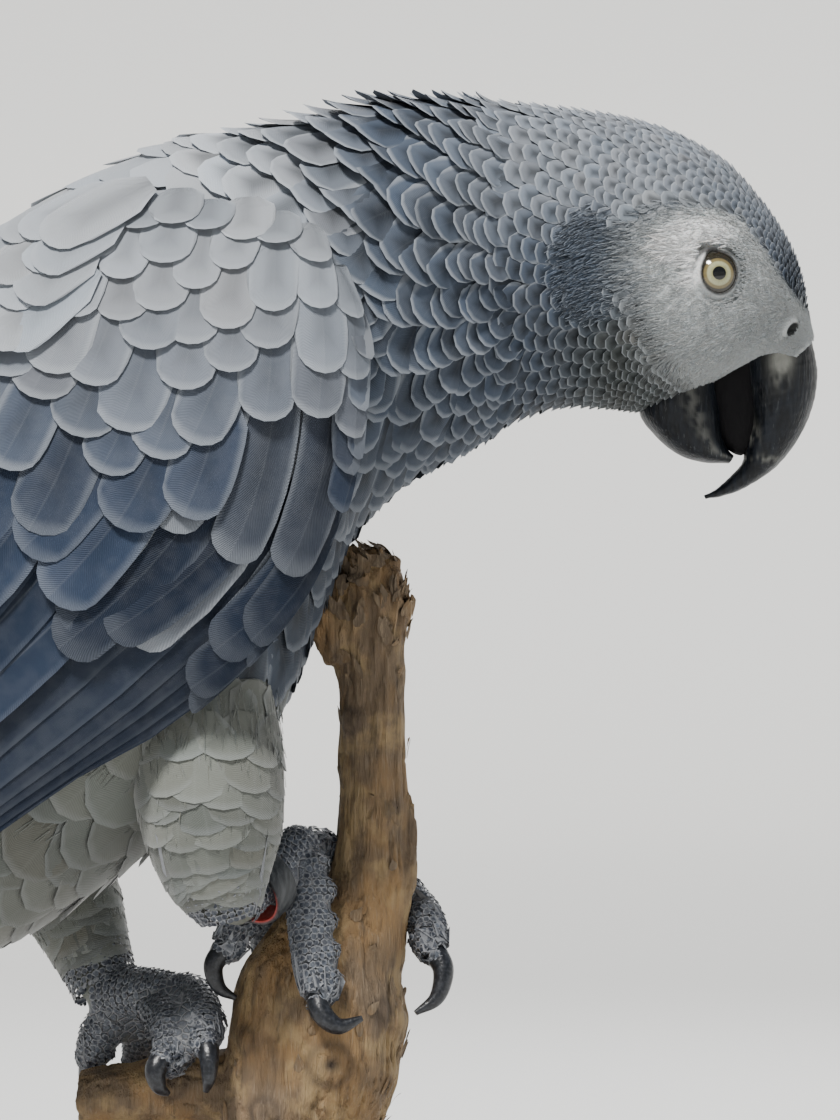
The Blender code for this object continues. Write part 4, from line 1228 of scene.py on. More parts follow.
def coat_seeds(first, last, rng, keep, lift, camber=0.10, droop=0.0, **how):
    """Body seeds with heights set for a coat whose tips stand `lift` above the outline.

    On both sides the feathers turn down by `droop`, a number or a function of the places.
    """
    seeds = body_seeds(first, last, rng, **how)
    yes = keep(seeds["place"])
    seeds = {key: value[yes] for key, value in seeds.items()}
    place = seeds.pop("place")
    depth = coat_depth(place)
    count = len(depth)
    up, down = (each(place) if callable(each) else each for each in (lift, droop))
    seeds["base"] = -depth * 0.75 + rng.uniform(-0.05, 0.05, count)
    seeds["rise"] = depth * 0.75 + up * rng.uniform(0.7, 1.3, count)
    seeds["camber"] = camber * seeds["width"] * rng.uniform(0.8, 1.2, count)
    seeds["tilt"] = rng.normal(0, 0.03, count) * seeds["width"]
    seeds["turn"] = rng.normal(0, 0.09, count) - down * smooth_sign(place[:, 1])
    seeds["tint"] = toned(marking(place), rng)
    return seeds, place


def smooth_sign(y):
    """The sign of y, passing smoothly through zero over 12 mm."""
    return np.clip(y / 6.0, -1, 1)


def covered_by_wing(p):
    """True where a folded wing lies over the body."""
    outline = [(x, z) for x, z, *_ in WING_ROWS] + [(row[2], row[3]) for row in WING_ROWS[::-1]]
    inside = outline_distance(p[..., 0], p[..., 2], outline) < -5.0
    return inside & (np.abs(p[..., 1]) > np.interp(p[..., 0], (-60, -45, -20, 5), (6, 12, 20, 27)))


ROUND = {"grid": (4, 4), "outline": ((0, 0.2, 0.6, 0.9, 1), (0.4, 0.75, 1.0, 1.0, 0.95)),
         "tip": 0.42}
LONG = {"grid": (6, 6), "outline": ((0, 0.3, 0.7, 0.9, 1), (0.4, 0.9, 1.0, 1.0, 0.94)),
        "tip": 0.44}
WIDE = {"grid": (7, 8), "outline": ((0, 0.3, 0.7, 0.9, 1), (0.4, 0.95, 1.0, 1.0, 0.95)),
        "tip": 0.40}
BLADE = {"grid": (16, 6), "outline": ((0, 0.15, 0.6, 0.85, 1), (0.5, 0.9, 1.0, 0.9, 0.62)),
         "tip": 0.55}
HAIR = {"grid": (2, 2), "outline": ((0, 0.5, 1), (0.8, 1.0, 0.25)), "tip": 0.0}
PLATE = {"grid": (3, 3), "outline": ((0, 0.33, 0.67, 1), (0.6, 1.0, 1.0, 0.6)), "tip": 0.3,
         "base": -0.30, "rise": 0.05}
FLAKE = {"grid": (5, 2), "outline": ((0, 0.3, 0.7, 1), (0.5, 1.0, 0.8, 0.3)), "tip": 0.3,
         "camber": 0.12}
EAR_STRANDS = 70000  # places tried for the ear's strands; most are left out
BELLY_STRANDS = 4500
THIGH_STRANDS = 1100
FLAKES = 2600


def add_coat(name, surface, lie, seeds, shape, paint, slot="feather_grey", **how):
    """Lay one coat piece and link it."""
    return place_mesh(name, lay_vanes(surface, lie, seeds, shape, **how), paint)


def scattered(rng, count, rows, turns, surface, keep=lambda p: slice(None)):
    """Random places u, v on a surface and their points p, for those that keep(p) chooses."""
    u = rng.uniform(*rows, count)
    v = rng.uniform(*turns, count)
    p = surface(u, v)
    yes = keep(p)
    return u[yes], v[yes], p[yes]


def strands(u, v, rng, last=LAST_ROW, **ranges):
    """Seeds of fine vanes, with their random measures drawn in the order in which they are named.

    A pair gives even odds between its numbers; one number is the spread of a bell round zero.
    """
    seeds = {"u": u, "v": v, "root": np.stack([v, u / last], axis=1)}
    for key, value in ranges.items():
        pair = isinstance(value, tuple)
        seeds[key] = rng.uniform(*value, len(u)) if pair else rng.normal(0, value, len(u))
    return seeds


def make_head_feathers(rng):
    """Scalloped crown and nape, cheeks and throat: small domed feathers in tight rows."""
    keep = lambda p: (face_share(p) <= 0.45) & (ear_share(p) < 0.75) & (p[:, 0] > 52)
    droop = lambda p: 0.45 * ramp(240, 226, p[:, 2])
    seeds, place = coat_seeds(LAST_ROW - 0.5, 12.0, rng, keep, 0.04, 0.17, droop, spacing=0.56,
                              long=2.2, wide=1.22)
    seeds["curl"] = -0.6 * seeds["camber"]
    return add_coat("head_feathers", body_point, lie_back, seeds, ROUND, "small_feathers")


def make_neck_feathers(rng):
    """Neck and breast: cupped feathers in close rows that show as narrow bright-rimmed arcs.

    They turn down towards the breast, and those along the nape stand up by the ruffle.
    """
    keep = lambda p: (p[:, 0] <= 54) & (p[:, 0] > 4) & ~covered_by_wing(p)
    ruffle = bpy.context.scene.parrot.ruffle
    lift = lambda p: (0.05 + 0.5 * ramp(240, 205, p[:, 2])
                      + ruffle * bell(p[:, 0] - 30, 9) * ramp(256, 266, p[:, 2]))
    droop = lambda p: 0.25 + 0.55 * ramp(252, 222, p[:, 2])
    seeds, place = coat_seeds(14.5, 6.6, rng, keep, lift, 0.17, droop, spacing=0.38, long=3.4,
                              wide=1.22)
    low = ramp(236, 208, place[:, 2])
    seeds["width"] *= 1 - 0.22 * low
    seeds["length"] *= 1 + 0.35 * low
    seeds["camber"] = (np.minimum(seeds["camber"], 1.15)
                       * (0.5 + 0.5 * ramp(4, 30, place[:, 0])))
    seeds["curl"] = (0.4 * rng.uniform(0.0, 1.4, len(place)) * ramp(10, 30, place[:, 0])
                     - 0.5 * seeds["camber"] * ramp(228, 206, place[:, 2]))
    return add_coat("neck_feathers", body_point, lie_back, seeds, LONG, "small_feathers")


def make_body_feathers(rng):
    """Mantle, belly, flanks and rump: large soft feathers."""
    keep = lambda p: (p[:, 0] <= 8) & ~covered_by_wing(p)
    lift = lambda p: 0.10 + 0.5 * ramp(180, 150, p[:, 2])
    seeds, place = coat_seeds(9.4, 0.4, rng, keep, lift, 0.03, 0.1, spacing=0.46, long=2.8)
    seeds["curl"] = -0.4 * seeds["camber"]
    return add_coat("body_feathers", body_point, lie_back, seeds, LONG, "soft_feathers")


def make_face_hairs(side, first, rng):
    """Fine short hair-like feathers over half of the bare face, lying back and down.

    The half runs from the share `first` of the way round to half a turn further.  Over the
    eye the hairs are longer and stand out more, and paler, partly as painted light.
    """
    keep = lambda p: ((face_share(p) > rng.uniform(0.12, 0.5, len(p))) & (lid_radius(p) > 1.45)
                      & (nostril_radius(p) > 1.7))
    u, v, p = scattered(rng, bpy.context.scene.parrot.face_hairs // 2, (13.5, LAST_ROW - 0.05),
                        (first, first + 0.5), body_point, keep)
    brow = brow_share(p)
    jaw = ramp(4.0, 1.5, -outline_distance(p[:, 0], p[:, 2], FACE_OUTLINE))
    jaw = jaw * ramp(226, 223, p[:, 2]) * ramp(96, 92, p[:, 0])
    tint = marking(p)
    # Over the brow the hairs are whitened, partly their own pale colour and partly painted light.
    tint = tint + 0.9 * brow[:, None] * (0.95 - tint)
    seeds = strands(u, v, rng, length=(0.8, 1.5), width=(0.11, 0.20), rise=(0.08, 0.20),
                    turn=0.22)
    seeds["length"] *= 1 + 1.1 * ramp(88, 76, p[:, 0]) + 1.2 * brow + 0.9 * jaw
    seeds["width"] *= 1 + 0.5 * brow
    seeds["rise"] *= 1 + 2.4 * brow
    seeds["turn"] -= (0.45 + 0.9 * jaw) * smooth_sign(p[:, 1])
    seeds["tint"] = toned(tint, rng, 0.08)
    return add_coat("face_hairs_" + side, body_point, lie_back, seeds,
                    dict(HAIR, base=-0.12, camber=0.12), "fine_hairs")


def make_ear_coverts(rng):
    """Dark, hair-like ear coverts behind the face, in fine overlapping strands."""
    keep = lambda p: (ear_share(p) > rng.uniform(0.10, 0.9, len(p))) & (face_share(p) < 0.6)
    u, v, p = scattered(rng, EAR_STRANDS, (11.0, 17.5), (0, 1), body_point, keep)
    seeds = strands(u, v, rng, length=(2.6, 4.4), width=(0.22, 0.42), rise=(0.7, 1.10), turn=0.16)
    seeds["turn"] -= 0.35 * smooth_sign(p[:, 1])
    seeds["tint"] = toned(marking(p), rng, 0.25)
    return add_coat("ear_coverts", body_point, lie_back, seeds,
                    dict(HAIR, base=-0.7, camber=0.20), "fine_hairs")


def add_down(name, place, last, length, surface, lie, rng, shrink=1.0, **how):
    """Fine soft strands over the pale feathers of the belly or a thigh, at places u, v, p."""
    u, v, p = place
    seeds = strands(u, v, rng, last, length=(0.6, 1.2), width=(0.16, 0.30), base=(-0.50, -0.20),
                    rise=(0.1, 0.35), turn=0.16, curl=(-0.2, 0.05))
    seeds["length"] *= length
    seeds["length"] *= shrink
    seeds["tint"] = toned(1.12 * plain("belly", p), rng, 0.05)
    return add_coat(name, surface, lie, seeds, dict(HAIR, camber=0.12), "fine_hairs",
                    "feather_pale", **how)


def make_belly_down(rng):
    """Soft strands over the belly and the flanks."""
    keep = lambda p: ((p[:, 2] + 0.6 * (p[:, 0] + 8) < 182 * rng.uniform(0.94, 1, len(p)))
                      & (p[:, 0] < 8) & (p[:, 0] > -92))
    place = scattered(rng, BELLY_STRANDS, (0.6, 8.2), (0.18, 0.82), body_point, keep)
    return add_down("belly_down", place, LAST_ROW, 5.5, body_point, lie_back, rng)


def wing_tint(u, v, rng, dark=0.0):
    """Wing colour: pale at the top, partly the mantle's grey and partly painted light from above;
    slate below, dark on the leading edge and the primaries.
    """
    p = wing_point(u, v)
    share = np.clip(dark + 0.45 * ramp(0.62, 1.0, v) * ramp(0.5, 2.5, u), 0, 1)
    share = np.maximum(share, 0.5 * ramp(8, 22, p[:, 0]) * ramp(242, 222, p[:, 2]))
    # Painted light: towards the top the wing is blended into the pale mantle grey.
    pale = 0.9 * ramp(212, 250, p[:, 2]) * (1 - 0.7 * share)
    return toned(blend(plain("wing", p), ("wing_dark", share), ("mantle", pale)), rng, 0.08)


def wing_seeds(u, v, length, width, base, rise, tilt, rng, dark=0.0, camber=0.05, loose=1.0):
    """Seeds on the wing; arrays or numbers are spread over all of them.

    loose is how much they differ: 1 for coverts, near 0 for the long blades in strict layers.
    """
    count = len(u)
    full = lambda value: np.broadcast_to(np.asarray(value, float), count).copy()
    vary = lambda spread: 1 + loose * rng.uniform(-spread, spread, count)
    return {"u": u, "v": v, "length": full(length) * vary(0.17), "width": full(width) * vary(0.13),
            "base": full(base) + 0.06 * (vary(1.0) - 1), "rise": full(rise) * vary(0.2),
            "tilt": full(tilt), "camber": full(camber) * full(width),
            "turn": loose * rng.normal(0, 0.07, count),
            "root": np.stack([np.clip(v, 0, 1), u / 15], axis=1),
            "tint": wing_tint(u, v, rng, dark)}


WING_LIMITS = (15.0, 1.0, -0.02)  # greatest u, greatest v, least v
COVERT_MARKS = (0, 3.5, 11, 19, 27.5, 37, 47)
COVERT_LENGTHS = (9, 13.5, 15, 16.5, 18.5, 22, 31)
COLUMN_X = (
    26.4, 22, 17, 11.4, 5.6, -0.2, -6, -11.8, -17.4, -23, -28.5, -34, -39.5, -44.5, -49.5, -54.5,
    -59.5, -64.5, -69.5, -74.5
)


def wing_starts(x=COLUMN_X):
    """Parameters u, v of columns of feathers, just under the wing's upper outline."""
    x = np.array(x)
    edge = np.array([(27.6, 228.5), (24.5, 239.5)] + [row[:2] for row in WING_ROWS[:11]])[::-1]
    return wing_find(x, np.interp(x, edge[:, 0], edge[:, 1]) - 1.6)


def make_wing_coverts(side, rng, flip):
    """Lesser, median and greater coverts in staggered rows that follow the wing's flow.

    The front columns end in long narrow coverts that lie along the leading edge.
    """
    u, v = wing_columns(wing_starts(), np.diff(COVERT_MARKS + (58.0,)))
    x = np.array(COLUMN_X)
    pieces = []
    for k, mark in enumerate(COVERT_MARKS):
        keep = mark < np.interp(x, (-6, 14), (60, 22))
        wide = np.interp(k, (0, 3, 6), (9.5, 11.5, 13.5)) * np.interp(x[keep], (5, 24), (1, 0.8))
        pieces.append(wing_seeds(u[k][keep], v[k][keep], COVERT_LENGTHS[k], wide, -0.9,
                                 1.0 + 0.06 * k, 0.12, rng, 0.085 * k, 0.05))
    u, v = wing_columns(wing_starts(np.linspace(-14.0, 20.0, 12)), (16.0, 6.0))
    pieces.insert(0, wing_seeds(u[1], v[1], 58.0, 11.0, -2.6, 0.8, 0.1, rng, 0.5, 0.01))
    for start, base in ((38.0, -2.0), (22.0, -1.85)):
        u, v = wing_columns([each[x > -6] for each in wing_starts()], (start, 6.0))
        pieces.insert(0, wing_seeds(u[1], v[1], 44.0, 11.5, base, 1.2, 0.1, rng, 0.9, 0.03))
    return add_coat("wing_coverts_" + side, wing_point, lie_wing, joined_seeds(pieces),
                    dict(WIDE, limits=WING_LIMITS), "wing_feathers", flip=flip)


def blade_length(u, v, end):
    """Length of the wing's line v from row u to row end."""
    line = wing_point(np.linspace(u, end, 60), np.full(60, v))
    return np.linalg.norm(np.diff(line, axis=0), axis=1).sum()


def make_wing_vanes(side, rng, flip):
    """Secondaries and primaries: long blades; the inner ones lie over the outer ones."""
    u, v = (each[1][5:] for each in wing_columns(wing_starts(), (44.0, 1.0)))
    order = np.arange(len(u))
    inner = wing_seeds(u, v, np.interp(order, (0, 14), (88, 70)), 12.5, -1.9 + 0.02 * order,
                       1.3, 0.7, rng, 0.50, 0.012, 0.1)
    v = np.linspace(0.95, 0.22, 11)
    u = np.interp(v, (0.22, 0.6, 0.95), (5.4, 3.0, 2.0))
    ends = np.interp(v, (0.22, 0.95), (12.6, 14.95))
    length = [blade_length(a, b, c) for a, b, c in zip(u, v, ends)]
    outer = wing_seeds(u, v, length, 12.0, -2.6, 1.3, 0.7, rng, 0.95, 0.012, 0.1)
    return add_coat("wing_vanes_" + side, wing_point, lie_wing, joined_seeds([outer, inner]),
                    dict(BLADE, limits=WING_LIMITS), "long_vanes", flip=flip)


def lie_scapular(u, v, p, pu, pv, n, turn):
    """Back and down over the wing, in one direction laid on the surface."""
    way = np.broadcast_to(np.array([-0.80, 0.0, -0.60]), p.shape)
    return swung(unit(way - n * (way * n).sum(-1, keepdims=True)), n, turn)


def make_scapulars(side, rng, flip):
    """Large smooth feathers in five rows that hang over the wing's upper edge."""
    rows = np.repeat(np.arange(5), 13)
    u = np.tile(np.linspace(4.6, 9.4, 13), 5) - 0.30 * rows + 0.18 * (rows % 2)
    seeds = wing_seeds(u, 0.165 - 0.035 * rows, 19.0, 11.5, 0.4, 1.8, 0.15, rng, 0.0, 0.06)
    # The scapulars take the pale mantle grey, which is partly painted light from above.
    seeds["tint"] = toned(plain("mantle", np.zeros((len(u), 3))), rng, 0.06)
    return add_coat("scapulars_" + side, wing_point, lie_scapular, seeds,
                    dict(WIDE, limits=WING_LIMITS), "wing_feathers", flip=flip)


def tube_seeds(rows, first, last, width, long, rng, colour, surface=None):
    """Staggered rows of seeds along a tube, from its row `first` to its row `last`."""
    surface = surface or tube_surface(rows)
    sense = outward(surface, len(rows) - 1)
    found = []
    u = first
    ring = np.linspace(0, 1, 97)
    while u < last:
        p = surface(np.full(97, u), ring)
        turn = np.linalg.norm(np.diff(p, axis=0), axis=1).sum()
        count = max(int(round(turn / width)), 5)
        place = np.arange(count) + 0.5 * (len(found) % 2) + rng.uniform(-0.1, 0.1, count)
        v = place / count % 1
        at = np.full(count, u)
        here, pu, pv, n = frame_at(surface, at, v, sense)
        found.append({"u": at, "v": v, "width": np.full(count, turn / count),
                      "root": np.stack([v, at / (len(rows) - 1)], axis=1),
                      "tint": toned(plain(colour, here), rng, 0.15),
                      "turn": rng.normal(0, 0.08, count)})
        u += width * long / np.linalg.norm(pu, axis=1).mean()
    return surface, sense, joined_seeds(found)


def make_thigh_feathers(side, rows, end, rng):
    """Soft pale feathers of a thigh down to its row number end, with soft strands over them."""
    surface, sense, seeds = tube_seeds(rows, 0.0, end, 8.0, 0.38, rng, "belly")
    u = seeds["u"]
    count = len(u)
    shrink = np.interp(u, (end - 1.5, end), (1, 0.55))
    seeds["width"] *= 1.75
    seeds["length"] = seeds["width"] * rng.uniform(1.0, 1.2, count) * shrink
    seeds["base"] = np.interp(u, (0, 0.3), (-1.6, -0.7)) + rng.uniform(-0.05, 0.05, count)
    seeds["rise"] = -0.1 - seeds["base"] + rng.uniform(-0.06, 0.06, count)
    seeds["camber"] = 0.03 * seeds["width"] * shrink
    seeds["curl"] = -0.4 * seeds["camber"]
    add_coat("thigh_feathers_" + side, surface, lie_on, seeds, WIDE, "soft_feathers",
             "feather_pale", sense=sense)
    place = scattered(rng, THIGH_STRANDS, (0.0, end + 0.2), (0, 1), surface)
    shrink = np.interp(place[0], (0, end - 1.0, end), (1, 0.8, 0.4))
    return add_down("thigh_down_" + side, place, len(rows) - 1, 4.5, surface, lie_on, rng, shrink,
                    sense=sense)


def make_tail_feathers(rng):
    """Eighteen scarlet tail feathers fanned side by side, nine above and nine below."""
    ring = np.linspace(0.76, 1.24, 200)
    v = []
    for half in (ring, ring[::-1] + 0.5):
        side = tail_point(np.full(200, 3.0), half % 1)[:, 1]
        order = np.argsort(side)
        v.append(np.interp(np.linspace(-19.5, 19.5, 9), side[order], half[order]) % 1)
    v = np.concatenate(v)
    count = len(v)
    off = np.tile(np.linspace(-1, 1, 9), 2)
    seeds = {"u": np.full(count, 0.05), "v": v, "length": 73.0 - 7.0 * off ** 2,
             "width": np.full(count, 13.0), "base": -1.0 - 0.25 * np.abs(off),
             "root": np.stack([v, np.full(count, 0.1)], axis=1),
             "tint": toned(plain("red", np.zeros((count, 3))), rng, 0.08)}
    return add_coat("tail_feathers", tail_point, lie_on, seeds, dict(BLADE, rise=0.8, camber=0.1),
                    "red_vanes", "feather_red")


def make_foot_scales(side, rng):
    """Small domed plates over the shank and the toes of one foot."""
    shank, thigh, bare = ((TARSUS_RIGHT, THIGH_RIGHT, 2.5) if side == "right"
                          else (TARSUS_LEFT, THIGH_LEFT, 2.0))
    limbs = [(shank, 0.3, None), (thigh, len(thigh) - bare, None)]
    limbs += [(toe_rows(key), 0.0, toe_surface(key)) for key in TOES if key.startswith(side)]
    meshes = []
    for rows, first, padded in limbs:
        last = len(rows) - (1.3 if padded else 1.02)
        surface, sense, seeds = tube_seeds(rows, first, last, 1.35, 0.92, rng, "foot", padded)
        count = len(seeds["u"])
        seeds["width"] *= 0.96
        seeds["length"] = seeds["width"] * rng.uniform(0.95, 1.1, count)
        seeds["camber"] = rng.uniform(0.26, 0.42, count)
        seeds["turn"] = rng.normal(0, 0.3, count)
        meshes.append(lay_vanes(surface, lie_on, seeds, PLATE, sense))
    return place_mesh("foot_scales_" + side, merged(meshes), "foot_scales")


def spot(p, x, z, wide, high):
    """A soft round spot of value 1 in x, z."""
    return np.exp(-((p[..., 0] - x) / wide) ** 2 - ((p[..., 2] - z) / high) ** 2)


def tube_grid(surface, rows, steps, around):
    """Points of a tube over the whole length of its table, and their u and v."""
    u, v = np.meshgrid(np.linspace(0, len(rows) - 1, steps), np.arange(around) / around,
                       indexing="ij")
    return surface(u, v), u, v


def bill_grid(rows, power, steps, around):
    """Points of half of the bill, their u and v, and the way out from its middle line."""
    p, u, v = tube_grid(lambda u, v: rib_point(rows, power, u, v), rows, steps, around)
    return p, u, v, unit(p - p.mean(axis=1, keepdims=True))


def place_bill(name, p, u, v, pale):
    """Link half of the bill with its pale share at each point."""
    return place_mesh(name + "_horn", closed_grid(p, (u, v), np.clip(pale, 0, 0.8)), "bill_horn",
                      [name])
MOUTH_ROWS = (
    (86, 229, 99, 229, 5.2), (86.5, 224, 99, 224.5, 5.4), (87, 218, 98.5, 218.5, 5.2),
    (88, 213.5, 97.5, 213.5, 4.6), (89.5, 210.5, 96.3, 210, 3.6), (91.5, 208.6, 95, 208.2, 2.4),
    (92.8, 207.8, 93.8, 207.6, 0.8),
)


def make_bill():
    """Upper and lower halves of the bill, with worn pale patches and edges, painted highlights on a
    chip and on the lower ridges, and the mouth.
    """
    p, u, v, n = bill_grid(UPPER_BILL_ROWS, 2.2, 120, 96)
    swell = 0.35 * spot(p, 98.0, 222.0, 2.6, 3.2) - 0.25 * spot(p, 94.5, 217.0, 1.0, 3.5)
    ridge = 0.10 * np.cos(TURN * u / 0.33) * ramp(0.0, 1.0, u) * ramp(7.5, 5.0, u)
    p = p + n * (swell + 0.25 * ridge + 0.06 * lattice_noise(p, 0.9, 21))[..., None]
    edge = ramp(0.36, 0.44, v) * ramp(0.64, 0.56, v)
    # The first spot is a painted highlight on a chip of the cutting edge.
    pale = (0.6 * spot(p, 95.4, 211.3, 1.2, 1.8) + 0.35 * spot(p, 98.0, 207.0, 2.6, 0.7)
            + 0.5 * spot(p, 100.4, 222.0, 1.5, 2.2) + 0.10 * edge)
    pale = pale * ramp(-0.5, 0.5, lattice_noise(p * (1, 1, 0.3), 0.5, 22))
    place_bill("bill_upper", p, u, v, pale + 1.2 * spot(p, 100.6, 224.6, 1.8, 1.9))
    p, u, v, n = bill_grid(LOWER_BILL_ROWS, 2.4, 70, 80)
    p = p + n * (0.05 * lattice_noise(p, 0.8, 23))[..., None]
    # Pale along the lower bill's two corner ridges: partly wear and partly painted highlight.
    rim = bell(v - 0.22, 0.03) + bell(v - 0.78, 0.03)
    pale = 0.25 * rim * ramp(-0.6, 0.4, lattice_noise(p * (1, 1, 0.4), 0.6, 24))
    place_bill("bill_lower", p, u, v, pale)
    # The mouth lining fills the gap between the bills; its near black is partly painted shade.
    mouth = closed_grid(bill_grid(MOUTH_ROWS, 2.4, 50, 48)[0])
    place_mesh("mouth_lining", mouth, "mouth")


def make_eye(side, sign):
    """An eyeball whose rings run from the pupil to the back; the clear front bulges a little."""
    centre = np.array(EYE_PLACE) * (1, sign, 1)
    gaze = unit(np.array([0.9 / EYE_RADIUS, sign * 1.0, 0.5 / EYE_RADIUS]))
    first = unit(np.cross(gaze, [0.0, 0.0, 1.0]))
    second = np.cross(gaze, first)
    a, b = np.meshgrid(np.linspace(0.004, math.pi - 0.004, 90), np.arange(96) / 96, indexing="ij")
    radius = EYE_RADIUS - 0.05 + 0.10 * np.exp(-(a / 0.35) ** 2)
    way = (np.cos(a)[..., None] * gaze + np.sin(a)[..., None]
           * (np.cos(TURN * b)[..., None] * first + np.sin(TURN * b)[..., None] * second))
    mesh = closed_grid(centre + way * radius[..., None], (a / (math.pi / 2), b))
    return place_mesh("eyeball_" + side, mesh, "eye", ["eye_" + side])


def make_claws(side):
    """The four claws of a foot: tapered horn, curved down to a point."""
    chosen = {key: rows for key, rows in CLAWS.items() if key.startswith(side)}
    meshes = [closed_grid(tube_grid(tube_surface(rows), rows, 28, 20)[0])
              for rows in chosen.values()]
    return place_mesh("claws_" + side, merged(meshes), "claw_horn",
                      ["claw_" + key for key in chosen])


def make_leg_ring():
    """The ring: a rounded band profile carried round a circle square to the shank."""
    along = unit(np.array(TARSUS_RIGHT[2][:3]) - np.array(TARSUS_RIGHT[1][:3]))
    first = unit(np.cross(along, [0.0, 0.0, 1.0]))
    second = np.cross(along, first)
    turn = np.arange(40) / 40
    corner = signed_power(np.cos(TURN * turn), 0.35)
    rise = signed_power(np.sin(TURN * turn), 0.35)
    radius = (RING_BORE + RING_OUTER) / 2 + corner * (RING_OUTER - RING_BORE) / 2
    angle = np.arange(97)[:, None, None] / 96 * TURN
    out = np.cos(angle) * first + np.sin(angle) * second
    grid = (np.array(LEG_RING) + out * radius[None, :, None]
            + along * (rise * RING_WIDTH / 2)[None, :, None])
    inside = ramp(0.2, -0.6, corner)[None, :] * ramp(0.0, -2.5, grid[..., 2] - LEG_RING[2])
    mesh = closed_grid(grid, tint=inside)
    work = bmesh.new()
    work.from_mesh(mesh)
    caps = [face for face in work.faces if len(face.verts) > 4]
    bmesh.ops.delete(work, geom=caps, context="FACES_ONLY")
    bmesh.ops.remove_doubles(work, verts=work.verts, dist=0.00001)
    bmesh.ops.recalc_face_normals(work, faces=work.faces)
    work.to_mesh(mesh)
    work.free()
    return place_mesh("leg_band", mesh, "leg_metal", ["leg_ring"])

KNOTS = (
    (20, -13, 99, 5, 1.6), (8, -12, 90, 4, 1.3), (-9, -1, 95, 4, 1.2), (27.5, -6.5, 108, 4.5, 1.2),
    (33, -1.5, 133, 2.2, 1.6), (30, -4, 144, 2.5, 0.8), (23, -5, 160, 3, 0.8),
    (4, -9, 103, 3.5, 1.2),
)
TWIG = ((31, -1, 128, 2), (34.2, -1.5, 132, 1.9), (34.6, -1, 140, 1.2), (34, -0.5, 146.5, 0.6))
PERCH_FOOT = 58.0
SNAG = (
    (22.5, -1, 172, 4.5), (19.5, -2, 176.5, 3.6), (18, -2.5, 180.5, 2.6), (18.8, -2, 184, 1.2)
)


def make_perch(voxel):
    """The branch: tubes fused, then swollen by lumps and knots, grooved by long grain and torn.

    The displacement is noise stretched along the wood for the grain, wider noise for lumps, a
    bell for each knot, and tall ragged noise where the wood is torn or broken.
    """
    grids = []
    for rows in (PERCH_TRUNK, PERCH_STUB, TWIG, SNAG):
        surface, last = tube_surface(rows), len(rows) - 1
        grids.append(inset_grid(surface, np.linspace(0, last, 90), np.arange(64) / 64, 0.25,
                                outward(surface, last)))
    mesh = fused(grids, voxel, 4)
    p, n = measured(mesh)
    x, z = p[:, 0], p[:, 2]
    lying = ramp(8, 0, x) * ramp(106, 100, z)
    grained = p * np.where(lying[:, None] > 0.5, (0.16, 1, 1), (1, 1, 0.16))
    grain = lattice_noise(grained, 1.1, 31) + 0.6 * lattice_noise(grained, 0.55, 32)
    lumps = lattice_noise(p, 9.0, 33) + 0.5 * lattice_noise(p, 4.0, 34)
    broken = lattice_noise(p * (1, 1, 0.6), 9.0, 36) + 0.9 * spot(p, 30.0, 101.0, 6.0, 9.0) - 0.25
    torn = np.maximum(ramp(171, 178, z), ramp(0.1, 0.5, broken) * ramp(118, 108, z))
    rags = lattice_noise(p * (1, 1, 0.22), 1.6, 37) + 0.7 * lattice_noise(p * (1, 1, 0.3), 0.8, 38)
    cracks = 1 - np.abs(lattice_noise(grained, 1.7, 41))
    push = (0.24 * grain + 0.55 * lumps * ramp(60, 66, z) - 0.45 * ramp(0.86, 1.0, cracks)
            + torn * (0.85 * rags - 0.2))
    dark = np.zeros(len(p))
    for knot_x, knot_y, knot_z, radius, rise in KNOTS:
        far = np.linalg.norm(p - (knot_x, knot_y, knot_z), axis=1) / radius
        push += rise * np.exp(-(far * 1.3) ** 2) - 0.5 * rise * np.exp(-(far * 4) ** 2)
        dark = np.maximum(dark, np.exp(-(far * 3.4) ** 2) + 0.5 * bell(far - 0.75, 0.2))
    p = p + n * (push * ramp(PERCH_FOOT, PERCH_FOOT + 1, z))[:, None]
    p[:, 2] = np.maximum(p[:, 2], PERCH_FOOT + 0.05)
    set_places(mesh, p)
    maps = np.stack([0.8 * torn * ramp(-0.5, 0.6, rags), np.clip(dark, 0, 0.9)], axis=-1)
    set_map(mesh, "vane", maps, True)
    return place_mesh("branch", mesh, "bark",
                      ["perch_trunk", "perch_stem", "perch_stub"])


def make_bark_flakes(rng):
    """Torn bark: thin curled slivers laid up the trunk where its surface is broken."""
    surface, last = tube_surface(PERCH_TRUNK), len(PERCH_TRUNK) - 1
    torn = lambda p: np.maximum(0.9 * ramp(168, 176, p[:, 2]), ramp(112, 100, p[:, 2]) * (
        0.5 * ramp(0.1, 0.6, lattice_noise(p, 8.0, 36)) + 0.8 * spot(p, 31, 103, 7, 13)))
    u, v, p = scattered(rng, FLAKES, (1.2, last - 1.2), (0, 1), surface,
                        lambda p: rng.uniform(0, 1, len(p)) < 0.03 + 0.20 * torn(p))
    seeds = strands(u, v, rng, last, length=(1.5, 4.5), width=(0.9, 2.6), base=(-0.5, 0.0),
                    rise=(0.2, 0.7), turn=0.3, curl=(0.0, 0.8), tilt=0.2)
    seeds["curl"] *= torn(p)
    seeds["tint"] = np.full((len(u), 3), 0.2)
    return add_coat("bark_flakes", surface, lie_on, seeds, FLAKE, "flake", "branch_wood",
                    sense=outward(surface, last))


def turned(profile, place, count):
    """Rings of a solid turned about a vertical axis, from radius and height pairs."""
    angle = TURN * np.arange(count) / count
    profile = np.asarray(profile, float)
    return np.stack([profile[:, :1] * np.cos(angle) + place[0],
                     profile[:, :1] * np.sin(angle) + place[1],
                     np.repeat(profile[:, 1:], count, axis=1)], axis=-1)


